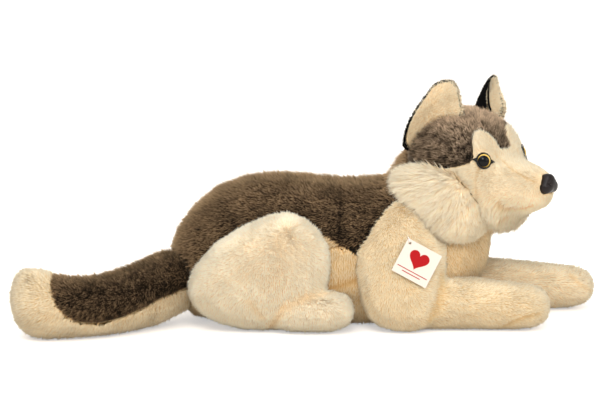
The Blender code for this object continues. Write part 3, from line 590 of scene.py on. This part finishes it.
# %% Plush
def plush(name, root, middle, tip, sheen, contrast, rim=None):
    """Pile dyed from its root to its tip, with a tone that changes from tuft to tuft."""
    values = {"Roughness": 0.9, "Sheen Weight": sheen, "Sheen Roughness": 0.45, "Specular IOR Level": 0.1}
    made, tree, shader = new_material(name, values)
    shader.inputs["Sheen Tint"].default_value = linear(rim or tip)
    place = add_node(tree, "ShaderNodeUVMap", uv_map=MAP)
    parts = add_node(tree, "ShaderNodeSeparateXYZ", {"Vector": place.outputs[0]})
    ramp = add_node(tree, "ShaderNodeValToRGB", {"Fac": parts.outputs["Y"]})
    stops = ramp.color_ramp.elements
    # The first stop, darker than the root, is reached only at seams: painted shade in the crease.
    stops[0].position, stops[0].color = 0.0, [0.4 * value for value in linear(middle)[:3]] + [1.0]
    stops[1].position, stops[1].color = 0.95, linear(tip)
    stops.new(0.14).color = linear(root)
    stops.new(0.5).color = linear(middle)
    spread = {"Value": parts.outputs["X"], "To Min": 1 - contrast, "To Max": 1 + contrast}
    gain = add_node(tree, "ShaderNodeMapRange", spread)
    scaled = {0: ramp.outputs["Color"], "Scale": gain.outputs[0]}
    toned = add_node(tree, "ShaderNodeVectorMath", scaled, operation="SCALE")
    tree.links.new(toned.outputs[0], shader.inputs["Base Color"])
    return made


# %% [markdown]
# Seven dyes of one fabric: root, middle and tip colour, sheen, and how much tufts differ. The
# brown ones have near-black roots, tan tips and a pale sheen at the rim.

# %% The toy's fabrics
dark_plush = plush(
    "long brown plush with tan tips", "#0A0705", "#1C130E", "#9C7F5E", 1.0, contrast=1.0, rim="#D2B58C"
)
crown_plush = plush(
    "long grey brown plush", "#0D0907", "#251C16", "#BA9F82", 0.8, contrast=1.0, rim="#C8B094"
)
cream_plush = plush("cream plush", "#E6B87C", "#F4D9A8", "#FDF1D8", 0.15, contrast=0.14)
pale_plush = plush("pale cream plush", "#F3CC98", "#FFEAC4", "#FFF9E4", 0.15, contrast=0.12)
head_plush = plush("creamy head plush", "#EEC48C", "#FCE3B8", "#FFF5DC", 0.15, contrast=0.15)
belly_plush = plush("warm cream plush", "#DDA968", "#EDCB96", "#F8E4C0", 0.15, contrast=0.14)
black_plush = plush("short black plush", "#050404", "#0B0A09", "#191716", 0.10, contrast=0.4)

# %% [markdown]
# ## The body's panels
# Pile lengths are read from the photograph's edges at about a millimetre a pixel: 9 mm on the
# back, 5 mm on the legs and 6 mm under the tail. Pile lies towards the tail and the paws.

# %% Combs and tones of the body
def leg_comb(elbow):
    """Down along the upper arm, and forwards along the forearm."""
    def way(points):
        forwards = ease(points[:, :1], elbow - 0.03, elbow + 0.03)
        return (1 - forwards) * np.array((-0.1, 0, -1)) + forwards * np.array((1, 0, -0.25))
    return way


def thigh_comb(sign):
    """Away from a place deep in the thigh, and down, so that its parting is soft and high."""
    away = comb_from((-0.040, sign * 0.050, 0.055))
    return lambda points: 0.7 * away(points) + np.array((-0.2, sign * 0.15, -0.55))


def back_tone_and_painted_light(points):
    """Paler where the neck rises, with painted sheen along the top and painted shade on the flanks."""
    x, _, z = points.T
    nape = 0.45 * ease(x, 0.055, 0.085) * ease(z, 0.120, 0.150)
    flank = 0.14 * ease(x, -0.13, -0.07) * ease(z, 0.140, 0.100)
    return nape + 0.30 * ease(z, 0.140, 0.172) - flank


def tail_tone_and_painted_sheen(points):
    """Paler along the tail's top edge, which slopes down to the tip, by painted sheen; and mottled."""
    x, _, z = points.T
    top = ease(z - 0.30 * (x + 0.20), 0.050, 0.075)
    return -0.20 + 0.35 * top + 0.14 * drift(points, 0.006, 71)


def belly_painted_shade(points):
    """Painted shade: the belly between the legs is darker than the chest."""
    return -0.5 * ease(points[:, 0], 0.060, 0.030)


# %% [markdown]
# Between near thigh and arm the brown ends along a line in the picture. Faces that show on its
# other side change to the other fabric.

# %% The flank's edge
FLANK_COLUMNS = (316, 368)
FLANK_START = (318, 231)
FLANK_SLOPE = 30 / 48


def in_picture(points):
    """Columns and rows of the picture where points show: sideways / depth and height / depth."""
    from_camera = points - np.array(camera.location)
    depth = from_camera @ np.array(camera_forward)
    columns = PICTURE_WIDTH / 2 + focal_pixels * (from_camera @ np.array(camera_right)) / depth
    rows = PICTURE_HEIGHT / 2 - focal_pixels * (from_camera @ np.array(camera_up)) / depth
    return columns, rows


def below_flank_edge(points):
    """Two masks: below the line, which drops 30 rows in 48 columns, and on the near flank."""
    columns, rows = in_picture(points)
    below = rows > FLANK_START[1] + (columns - FLANK_START[0]) * FLANK_SLOPE
    flank = (columns > FLANK_COLUMNS[0]) & (columns < FLANK_COLUMNS[1]) & (points[:, 1] < -0.03)
    return below, flank


def two_tone(made, other, swap):
    """Gives a panel's faces a second material where the flank's edge crosses the sewn one."""
    made.data.materials.append(other)
    middles = read(made.data.polygons, "center", np.float32, 3).reshape(-1, 3).astype(float)
    below, flank = below_flank_edge(middles)
    changed = flank & (below == swap) & (middles[:, 2] > 0.07)
    made.data.polygons.foreach_set("material_index", changed.astype(np.int32))
    print(made.name, "has", changed.sum(), "faces of", other.name)


# %% [markdown]
# Each panel is covered by one call: its cubes' width, its pile's length and lean (0 stands up,
# 1.57 lies flat), its comb and its fabric. Shaggy pile keeps clear of its neighbours, so that no
# dark tuft pokes through cream. Tufted pile gathers more.

# %% The body
def cover(name, node, cube, *look, **pile):
    """A panel's skin and pile. The look is its length, lean, comb, material and slot; the slot is not used.
    """
    points, triangles, room = even_skin(node, cube)
    edges = edges_of(triangles)
    points = blend_out(blend_out(points, edges, 8), edges, 8, -0.5)
    return raise_pile(name, node, (points, triangles, room), *look, **pile)


BACKWARDS = comb_along(-1, 0, -0.35)
DOWNWARDS = comb_along(-0.3, 0, -1)
TAILWARDS = comb_along(-1, -0.3, -0.3)
SHAGGY = {"gather": 0.2, "patch": 0.004, "loose": 0.20, "clear": (0.002, 0.007)}
TUFTED = {**SHAGGY, "gather": 0.35, "patch": 0.0055}
SMOOTH = {"gather": 0.15, "patch": 0.005}

back = cover(
    "back_pile", "torso_back", 0.0019, 0.009, 0.85, BACKWARDS, dark_plush, "dark_plush",
    tone=back_tone_and_painted_light, seed=1, **SHAGGY,
)
two_tone(back, belly_plush, True)
belly = cover(
    "belly_pile", "torso_belly", 0.0024, 0.005, 0.85, DOWNWARDS, belly_plush, "cream_plush",
    tone=belly_painted_shade, seed=2, **SMOOTH,
)
two_tone(belly, dark_plush, False)

# %% Legs and tail
LEGS = (
    ("near_arm_pile", "front_leg_right", 0.0018, 0.0045, 0.8, leg_comb(0.10), cream_plush),
    # The far arm takes the paler head plush: painted light that lifts its shade.
    ("far_arm_pile", "front_leg_left", 0.0024, 0.0045, 0.8, leg_comb(0.12), head_plush),
    ("near_thigh_pile", "hind_leg_right", 0.0018, 0.005, 0.7, thigh_comb(-1), pale_plush),
    ("far_thigh_pile", "hind_leg_left", 0.0026, 0.005, 0.7, thigh_comb(1), pale_plush),
)
for k, leg in enumerate(LEGS):
    cover(*leg, "cream_plush", seed=3 + k, **SMOOTH)
cover(
    "tail_top_pile", "tail_top", 0.0018, 0.009, 0.85, TAILWARDS, dark_plush, "dark_plush",
    tone=tail_tone_and_painted_sheen, seed=7, **TUFTED,
)
cover(
    "tail_underside_pile", "tail_underside", 0.0021, 0.006, 0.75, TAILWARDS, cream_plush, "cream_plush",
    seed=8, **SMOOTH,
)

# %% [markdown]
# ## The head
# The pile is 3.5 mm on the muzzle, trimmed shorter round the eyes and the nose, and grows longer
# towards the back of the head. Under the jaw it hangs over the throat. The cheek ruffs are a
# longer pile that sweeps backwards from the face and hangs down.

# %% The head's pile
def below_jaw(points):
    """1 on the throat and under the jaw, 0 on the face."""
    forward, _, up = in_head(points).T
    return ease(up, -0.020, -0.036) * ease(forward, 0.092, 0.062)


def trimmed(full, muzzle, throat=0.0):
    """Pile length: short on the muzzle, full at the back, least at the eyes, more below the jaw."""
    def length(points):
        forward = in_head(points)[:, 0]
        long = full + (muzzle - full) * ease(forward, 0.040, 0.075) + throat * below_jaw(points)
        for place, radius in ((eye_places[0], 0.0085), (eye_places[1], 0.0085), (nose_place, 0.011)):
            away = np.linalg.norm(points - place, axis=1)
            long = long * (0.25 + 0.75 * ease(away, radius, radius + 0.0055))
        return long
    return length


def face_comb(points):
    """Away from the nose, and down below the jaw."""
    below = below_jaw(points)[:, None]
    return (1 - below) * unit(points - head_point(0.12, 0, 0.01)) + below * np.array((-0.35, 0, -1))


def ruff_length(points):
    """Short along the front seam and long behind it."""
    return 0.006 + 0.008 * ease(in_head(points)[:, 0], 0.060, 0.020)


def ruff_comb(sign):
    """Backwards from the cheek, turning down towards the bottom."""
    away = comb_from(head_point(0.085, sign * 0.045, 0.020))
    return lambda points: away(points) + np.array((0, 0, -0.45))


def ruff_streaks(points):
    """Pale and warm streaks that fan out from the cheek, about 4 mm wide at 40 mm from it."""
    forward, _, up = in_head(points).T
    turn = 0.040 * np.arctan2(up - 0.020, forward - 0.085)
    return 0.10 + 0.30 * drift(np.stack((turn, 0 * turn, 0 * turn), 1), 0.004, 61)


def crown_tone(points):
    """The cap is paler on its top and mottled in patches about 9 mm wide."""
    return -0.16 + 0.50 * ease(points[:, 2], 0.185, 0.215) + 0.22 * drift(points, 0.009, 72)


def face_tone_and_painted_light(points):
    """The throat and the chin are paler than the cheeks: painted light that lifts their shade."""
    forward, _, up = in_head(points).T
    return -0.35 + 0.65 * np.maximum(below_jaw(points), ease(up, -0.008, -0.028))


def face_lean(points):
    """Flatter towards the ruff and hanging on the throat."""
    return 0.85 + 0.3 * ease(in_head(points)[:, 0], 0.065, 0.040) + 0.1 * below_jaw(points)


# %% Cover the head
CROWN = comb_from(head_point(0.075, 0, 0.0))
RUFF = {"gather": 0.35, "patch": 0.005, "loose": 0.12, "wander": 0.25}
FACE = {"gather": 0.15, "patch": 0.004, "loose": 0.10}
cover(
    "crown_pile", "head_crown", 0.0016, trimmed(0.0085, 0.005), 0.8, CROWN, crown_plush, "dark_plush",
    tone=crown_tone, seed=9, **TUFTED,
)
cover(
    "face_pile", "head_face", 0.0015, trimmed(0.007, 0.0035, 0.014), face_lean, face_comb,
    head_plush, "cream_plush", tone=face_tone_and_painted_light, seed=10, **FACE,
)
for name, side, cube, sign, seed in (("near", "right", 0.0014, -1, 11), ("far", "left", 0.0021, 1, 12)):
    cover(
        name + "_ruff_pile", "cheek_ruff_" + side, cube, ruff_length, 1.05, ruff_comb(sign),
        head_plush, "cream_plush", tone=ruff_streaks, seed=seed, **RUFF,
    )

# %% [markdown]
# ## The ears
# An ear is two leaves sewn along their edge: cream lining in front, black plush behind. They
# thin out to nothing at the rim, which cubes would tear, so each leaf is a square grid pressed
# into a disc, stretched to the ear's outline, and bent back into a hollow.

# %% An ear's leaf
EAR_OUTLINE = (
    (0.00, 0.00), (0.07, 0.22), (0.21, 0.61), (0.36, 0.88), (0.50, 1.00),
    (0.63, 1.07), (0.76, 1.05), (0.88, 0.88), (1.02, 0.64), (1.09, 0.42),
    (1.08, 0.15), (1.00, -0.10), (0.80, -0.34), (0.40, -0.36), (0.08, -0.22),
)
EAR_POSES = {
    "right": ((0.020, -0.023, 0.056), (-0.028, -0.052, 0.025), (0.015, -0.043, 0.090), 0.007),
    "left": ((0.025, 0.022, 0.053), (0.010, 0.056, 0.039), (0.026, 0.045, 0.085), 0.018),
}
EAR_HEIGHT_SCALE = 0.96
EAR_TIP_FLATTENING = 0.35
EAR_GRID = 40


def ear_radius(angle):
    """How far the outline is from its middle in each direction, from a closed smooth curve."""
    knots = np.array(EAR_OUTLINE)
    spots = np.linspace(0, len(knots), 400, endpoint=False)
    index = spots.astype(int)
    t = (spots - index)[:, None]
    a, b, c, d = (knots[(index + k) % len(knots)] for k in (-1, 0, 1, 2))
    curve = b + ((c - a) * t + (2 * a - 5 * b + 4 * c - d) * t**2 + (3 * b - a - 3 * c + d) * t**3) / 2
    middle = curve.mean(0)
    turn = np.arctan2(*(curve - middle).T[::-1])
    order = np.argsort(turn)
    reach = np.linalg.norm(curve - middle, axis=1)[order]
    return middle, np.interp(angle, turn[order], reach, period=2 * math.pi)


def ear_leaf(side, seat, thickness, spread, wrap):
    """A leaf and its outward way: points at middle + radius(angle) * r * (spread + wrap * x),
    bent back by cup * (1 - across^2)."""
    front, rear, tip, cup = (np.array(value) for value in EAR_POSES[side])
    base = rear - front
    rise = (tip - (front + rear) / 2) * EAR_HEIGHT_SCALE
    normal = np.cross(base, rise)
    normal *= np.sign(normal[0]) / np.linalg.norm(normal)
    line = np.linspace(-1, 1, EAR_GRID)
    s, t = np.meshgrid(line, line, indexing="ij")
    x = s * np.sqrt(1 - t**2 / 2)
    y = t * np.sqrt(1 - s**2 / 2)
    r = np.hypot(x, y)
    middle, reach = ear_radius(np.arctan2(y, x))
    reach = reach * (spread + wrap * x)
    u = middle[0] + reach * x
    v = middle[1] + reach * y
    hollow = -cup * (1 - EAR_TIP_FLATTENING * v) * (1 - (2 * u - 1) ** 2)
    sheets = [
        front + u[..., None] * base + v[..., None] * rise + normal * (hollow + seat + lift)[..., None]
        for lift in (thickness * (1 - r**4), np.zeros_like(r))
    ]
    index = np.arange(EAR_GRID**2).reshape(EAR_GRID, EAR_GRID)
    a, b, c, d = index[:-1, :-1], index[1:, :-1], index[1:, 1:], index[:-1, 1:]
    near = np.stack((a, b, c, a, c, d), -1).reshape(-1, 3)
    faces = np.concatenate((near, near[:, ::-1] + EAR_GRID**2))
    places = np.concatenate([sheet.reshape(-1, 3) for sheet in sheets])
    made = mesh_object("leaf", from_head(places), faces)
    weld(made)
    return made, head_turn @ normal * np.sign(thickness)


# %% [markdown]
# Black plush wraps round the near ear's rear edge, as the photograph shows, and round the far
# ear's front edge. Only the side that faces outwards carries pile, so none pokes through.

# %% Cover the ears
def cover_ear(name, node, leaf, length, material, slot, seed):
    """A leaf's pile, combed from the ear's root to its rim on the side that faces outwards."""
    made, outside = ear_leaf(*leaf)
    points, triangles, room = with_room(made, node, start_depth=0.0001)
    a, b, c = (points[triangles[:, k]] for k in range(3))
    if np.einsum("ij,ij->i", a, np.cross(b, c)).sum() < 0:
        triangles = triangles[:, ::-1]
    room = np.where(normals_of(points, triangles) @ outside > -0.3, room, 0.0)
    front, rear, tip, _ = EAR_POSES[leaf[0]]
    root = (np.array(front) + rear) / 2
    outwards = comb_from(head_point(*(root + 0.05 * (tip - root))))
    skin = (points, triangles, room)
    raise_pile(name, node, skin, length, 0.95, outwards, material, slot, seed=seed, **EAR)


EAR = {"gather": 0.15, "patch": 0.004, "loose": 0.2, "sink": 0.4, "tone": -0.4}
for side, seed, wrap in (("right", 21, 0.03), ("left", 25, -0.03)):
    node = "ear_" + side
    lining = (side, 0.00015, 0.0030, 0.985, -wrap)
    outside = (side, -0.00015, -0.0026, 1.0, wrap)
    cover_ear("ear_lining_" + side, node + "_inner", lining, 0.0040, head_plush, "ear_lining", seed)
    cover_ear("ear_outside_" + side, node + "_back", outside, 0.0028, black_plush, "black_plush", seed + 1)

print("tufts and faces in all:", np.sum(list(pile_report.values()), axis=0))

# %% [markdown]
# ## The eyes
# A toy eye is a glossy black dome of moulded plastic with a gold ring. The dome is one profile
# turned about the eye's axis: a quarter of an ellipse, a short rim and a flat back. A flat map
# across it carries the paint, and the pupil sits a little low and back.

# %% A turned form
def turned(name, profile, sides, frame_matrix):
    """A closed form turned about Z: (radius * cos(a), radius * sin(a), height), then placed."""
    angle = np.linspace(0, 2 * math.pi, sides, endpoint=False)
    radius, height = np.array(profile[1:-1]).T
    ring = np.stack((np.cos(angle), np.sin(angle)), -1)
    heights = np.broadcast_to(height[:, None, None], (len(radius), sides, 1))
    grid = np.concatenate((radius[:, None, None] * ring, heights), -1)
    poles = np.array(((0, 0, profile[0][1]), (0, 0, profile[-1][1])))
    local = np.concatenate((grid.reshape(-1, 3), poles))
    k = np.arange(sides)
    after = (k + 1) % sides
    rows = np.arange(len(radius) - 1)[:, None] * sides
    below = rows + sides
    quads = np.stack((rows + k, below + k, below + after, rows + after), -1).reshape(-1, 4)
    last = (len(radius) - 1) * sides
    top = np.stack((np.full(sides, len(local) - 2), k, after), -1)
    bottom = np.stack((np.full(sides, len(local) - 1), last + after, last + k), -1)
    placed = local @ np.array(frame_matrix.to_3x3()).T + np.array(frame_matrix.translation)
    made = mesh_object(name, placed, quads.tolist() + top.tolist() + bottom.tolist())
    made.data.shade_smooth()
    return made, local


# %% [markdown]
# The paint goes by distance on the flat map, where the eye is 1 wide.

# %% Eye paint
BLACK_PAINT = "#060505"


def eye_paint():
    """Black pupil, gold ring and black edge, from distances on the flat map."""
    values = {"Roughness": 0.04, "Specular IOR Level": 0.16, "IOR": 1.5}
    made, tree, shader = new_material("painted glossy eye plastic", values)
    place = add_node(tree, "ShaderNodeUVMap", uv_map=MAP).outputs[0]
    whole = add_node(tree, "ShaderNodeVectorMath", {0: place, 1: (0.5, 0.5, 0)}, operation="DISTANCE")
    pupil = add_node(tree, "ShaderNodeVectorMath", {0: place, 1: (0.465, 0.47, 0)}, operation="DISTANCE")
    ring = add_node(tree, "ShaderNodeValToRGB", {"Fac": pupil.outputs["Value"]})
    stops = ring.color_ramp.elements
    stops[0].position, stops[0].color = 0.375, linear(BLACK_PAINT)
    stops[1].position, stops[1].color = 0.390, linear("#9A742A")
    stops.new(0.410).color = linear("#E3BE62")
    reach = {"Value": whole.outputs["Value"], "From Min": 0.430, "From Max": 0.445}
    edge = add_node(tree, "ShaderNodeMapRange", reach)
    mixed = {"Factor": edge.outputs[0], 6: ring.outputs["Color"], 7: linear(BLACK_PAINT)}
    colour = add_node(tree, "ShaderNodeMix", mixed, data_type="RGBA")
    tree.links.new(colour.outputs[2], shader.inputs["Base Color"])
    return made


# %% [markdown]
# Each eye is set a little deeper than the CAD eye, because here the pile round it is raised.
# The far one sits deeper still: in the photograph the brow hides it.

# %% Eyes
EYE_RADIUS = 0.0074
EYE_DOME = 0.0052
EYE_BACK = 0.0016
EYE_SINK = {"eye_right": 0.0012, "eye_left": 0.0038}
EYE_LOOK = (0.66, 0.72, 0.14)

eye_plastic = eye_paint()
for node, sign in (("eye_right", -1), ("eye_left", 1)):
    points, _ = mesh_arrays(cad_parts[node].data)
    turn = head_frame.to_3x3()
    look = (turn @ Vector((EYE_LOOK[0], sign * EYE_LOOK[1], EYE_LOOK[2]))).normalized()
    upright = (Vector((0, 0, 1)) - look * look.z).normalized()
    across = upright.cross(look)
    middle = points.mean(0)
    top = ((points - middle) @ np.array(look)).max()
    place = Matrix((across, upright, look)).transposed().to_4x4()
    place.translation = Vector(middle) + look * (top - EYE_DOME - EYE_SINK[node])
    arc = np.linspace(0, math.pi / 2, 13)
    profile = list(zip(EYE_RADIUS * np.sin(arc), EYE_DOME * np.cos(arc)))
    profile += [(EYE_RADIUS, -0.4 * EYE_BACK), (0.86 * EYE_RADIUS, -EYE_BACK), (0, -EYE_BACK)]
    eye, local = turned(node + "_dome", profile, 48, place)
    forward_side = 1 if across.dot(turn @ Vector((1, 0, 0))) > 0 else -1
    flat = 0.5 + 0.5 * local[:, :2] / EYE_RADIUS * (forward_side, 1)
    corner = read(eye.data.loops, "vertex_index", np.int32)
    layer = eye.data.uv_layers.new(name=MAP, do_init=False)
    layer.uv.foreach_set("vector", flat[corner].astype(np.float32).ravel())
    eye.data.materials.append(eye_plastic)
    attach(eye, "root")
    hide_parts(node)
print("eyes are", round(2000 * EYE_RADIUS, 1), "mm across")

# %% [markdown]
# ## Nose, felt and hidden plastic
# The nose is one moulding of satin ABS with rounded edges, so its CAD form is rebuilt on fine
# cubes, blended smooth and bumped by a fine noise. The felt behind each eye is rough and
# mottled. The locking washers inside are plain natural plastic.

# %% Grain and finish
def grained(name, colour, other, size_mm, bump, values):
    """An even finish with a fine grain: noise of the given size tints the colour and lifts it."""
    made, tree, shader = new_material(name, values)
    where = add_node(tree, "ShaderNodeTexCoord").outputs["Object"]
    grain = add_node(tree, "ShaderNodeTexNoise", {"Vector": where, "Scale": 1000 / size_mm, "Detail": 4.0})
    ramp = add_node(tree, "ShaderNodeValToRGB", {"Fac": grain.outputs["Fac"]})
    stops = ramp.color_ramp.elements
    stops[0].position, stops[0].color = 0.3, linear(colour)
    stops[1].position, stops[1].color = 0.7, linear(other)
    tree.links.new(ramp.outputs["Color"], shader.inputs["Base Color"])
    rise = {"Height": grain.outputs["Fac"], "Strength": bump, "Distance": 0.0002}
    tree.links.new(add_node(tree, "ShaderNodeBump", rise).outputs[0], shader.inputs["Normal"])
    return made


def finish_node(node, material):
    """Gives a CAD node its material."""
    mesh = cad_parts[node].data
    mesh.materials.clear()
    mesh.materials.append(material)


# %% The nose and the hidden parts
satin = {"Roughness": 0.33, "Specular IOR Level": 0.22}
nose_plastic = grained("satin moulded nose plastic", "#110A09", "#1D1311", 2.5, 0.25, satin)
matted = {"Roughness": 1.0, "Sheen Weight": 0.15}
felt = grained("matted black felt", "#070606", "#131110", 0.8, 0.6, matted)
plain_plastic = grained("natural polyethylene", "#E2E0DA", "#EEECE6", 3.0, 0.1, {"Roughness": 0.4})
pin_plastic = grained("clear polypropylene pin", "#E9E6E0", "#F4F2EE", 1.0, 0.05, {"Roughness": 0.25})
points, triangles, _ = even_skin("nose", 0.0007)
points = blend_out(points, edges_of(triangles), 6)
nose = mesh_object("nose_moulding", points, triangles)
nose.data.shade_smooth()
nose.data.materials.append(nose_plastic)
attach(nose, "root")
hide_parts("nose")
print("nose has", len(triangles), "faces")
for side in ("right", "left"):
    finish_node("eye_backing_" + side, felt)
    finish_node("eye_washer_" + side, plain_plastic)
finish_node("nose_washer", plain_plastic)
finish_node("tag_fastener", pin_plastic)

# %% [markdown]
# ## The card tag
# A folded card of coated board hangs on a thin plastic pin: white, a little warm, with a faint
# grain. Its print is a generic one, a plain red heart over two thin rules, as flat shapes a
# tenth of a millimetre thick on the front leaf, whose plane is measured from the CAD card.

# %% The card
coated = {"Roughness": 0.55, "Coat Weight": 0.1}
card = grained("coated white board", "#D9CCBF", "#E0D4C8", 0.6, 0.08, coated)
finish_node("hang_tag", card)
points, triangles = mesh_arrays(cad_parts["hang_tag"].data)
a, b, c = (points[triangles[:, k]] for k in range(3))
facing = np.cross(b - a, c - a)
area = np.linalg.norm(facing, axis=1) / 2
facing = facing / (2 * area[:, None])
large = (area > 2e-5) & (facing[:, 1] < -0.7)
outward = np.einsum("ij,ij->i", facing, (a + b + c) / 3)
outer = np.flatnonzero(large)[outward[large].argmax()]
card_normal = facing[outer]
on_leaf = points[np.abs((points - a[outer]) @ card_normal) < 0.00005]
sides = np.concatenate([b - a, c - b, a - c])
length = np.linalg.norm(sides, axis=1)
card_across = unit(sides[np.argmin(np.abs(length - 0.036))])
card_across = unit(card_across - card_normal * (card_across @ card_normal))
card_up = np.cross(card_normal, card_across)
if abs(card_across[2]) > abs(card_up[2]):
    card_across, card_up = card_up, card_across
card_up *= np.sign(card_up[2])
card_across = np.cross(card_up, card_normal)
spots = on_leaf @ np.stack((card_across, card_up), 1)
card_middle = (spots.max(0) + spots.min(0)) / 2
print("card leaf in mm:", (1000 * (spots.max(0) - spots.min(0))).round(1), "up", card_up.round(2))


# %% [markdown]
# Each printed shape is its outline, lifted off the leaf by a hair's breadth.

# %% The print
def print_on_card(name, outline):
    """A flat red shape on the leaf, from its outline across and up from the leaf's middle."""
    flat = np.asarray(outline) + card_middle
    depth = a[outer] @ card_normal + 0.00006
    places = flat[:, :1] * card_across + flat[:, 1:] * card_up + depth * card_normal
    count = len(places)
    both = np.concatenate((places + 0.00008 * card_normal, places))
    k = np.arange(count)
    after = (k + 1) % count
    rim = np.stack((k, k + count, after + count, after), 1).tolist()
    made = mesh_object(name, both, [k.tolist(), (k[::-1] + count).tolist()] + rim)
    made.data.materials.append(red_ink)
    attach(made, "root")


matt = {"Roughness": 0.6, "Specular IOR Level": 0.15}
red_ink = grained("red printing ink", "#A2080E", "#AC1016", 0.5, 0.05, matt)
t = np.linspace(0, 2 * math.pi, 64, endpoint=False)
heart_up = 13 * np.cos(t) - 5 * np.cos(2 * t) - 2 * np.cos(3 * t) - np.cos(4 * t)
heart = np.stack((16 * np.sin(t) ** 3, heart_up), 1)
print_on_card("printed_heart", heart * 0.00066 + (0, 0.0035))
for k, (wide, down) in enumerate(((0.0165, -0.0105), (0.0100, -0.0135))):
    rule = np.array(((-wide, down), (wide, down), (wide, down + 0.0008), (-wide, down + 0.0008)))
    print_on_card("printed_rule_" + str(k + 1), rule)

# %% [markdown]
# ## Light, floor and background
# A photographer's white table, with soft light from all round. Camera rays see the floor a little
# brighter than it is, so that it fades into the white background and keeps the wolf's shadow.

# %% Floor and background
FLOOR_GLOW = 0.48
SKY_LIGHT = 0.84


def seen_directly(tree):
    """1 for rays from the camera, in a reflection or through something clear, else 0."""
    rays = add_node(tree, "ShaderNodeLightPath").outputs
    seen = rays["Is Camera Ray"]
    for ray in (rays["Is Glossy Ray"], rays["Is Transmission Ray"]):
        seen = add_node(tree, "ShaderNodeMath", {0: seen, 1: ray}, operation="MAXIMUM").outputs[0]
    return seen


corners = np.array(((-6, -6, 0), (6, -6, 0), (6, 12, 0), (-6, 12, 0)), float)
floor = mesh_object("floor", corners, [(0, 1, 2, 3)])
floor_paint, tree, shader = new_material("white studio floor", {"Roughness": 0.9, "Specular IOR Level": 0.1})
shader.inputs["Base Color"].default_value = linear("#F2EBE1")
shader.inputs["Emission Color"].default_value = (1, 1, 1, 1)
glow = add_node(tree, "ShaderNodeMath", {0: seen_directly(tree), 1: FLOOR_GLOW}, operation="MULTIPLY")
tree.links.new(glow.outputs[0], shader.inputs["Emission Strength"])
floor.data.materials.append(floor_paint)

world = bpy.data.worlds.new("studio")
bpy.context.scene.world = world
world.use_nodes = True
tree = world.node_tree
sky = tree.nodes["Background"]
sky.inputs["Color"].default_value = (1, 1, 1, 1)
seen = {"Value": seen_directly(tree), "To Min": SKY_LIGHT, "To Max": 1.0}
level = add_node(tree, "ShaderNodeMapRange", seen)
tree.links.new(level.outputs[0], sky.inputs["Strength"])


# %% [markdown]
# Three soft lamps: a broad one above, one from the right, and a low one in front, like a window.

# %% Lamps
def soft_lamp(name, place, size, power):
    """A square lamp that looks at the wolf."""
    data = bpy.data.lights.new(name, "AREA")
    data.size = size
    data.energy = power
    lamp = in_scene(name, data)
    lamp.location = place
    lamp.rotation_euler = (Vector((0, 0, 0.1)) - Vector(place)).to_track_quat("-Z", "Y").to_euler()
    return lamp


soft_lamp("broad lamp above", (-0.5, -0.9, 1.9), 1.4, 19)
soft_lamp("side lamp", (1.6, -1.2, 0.9), 0.9, 6)
soft_lamp("window light", (0.1, -2.0, 1.4), 0.7, 17)

bpy.context.scene.view_settings.view_transform = "Standard"
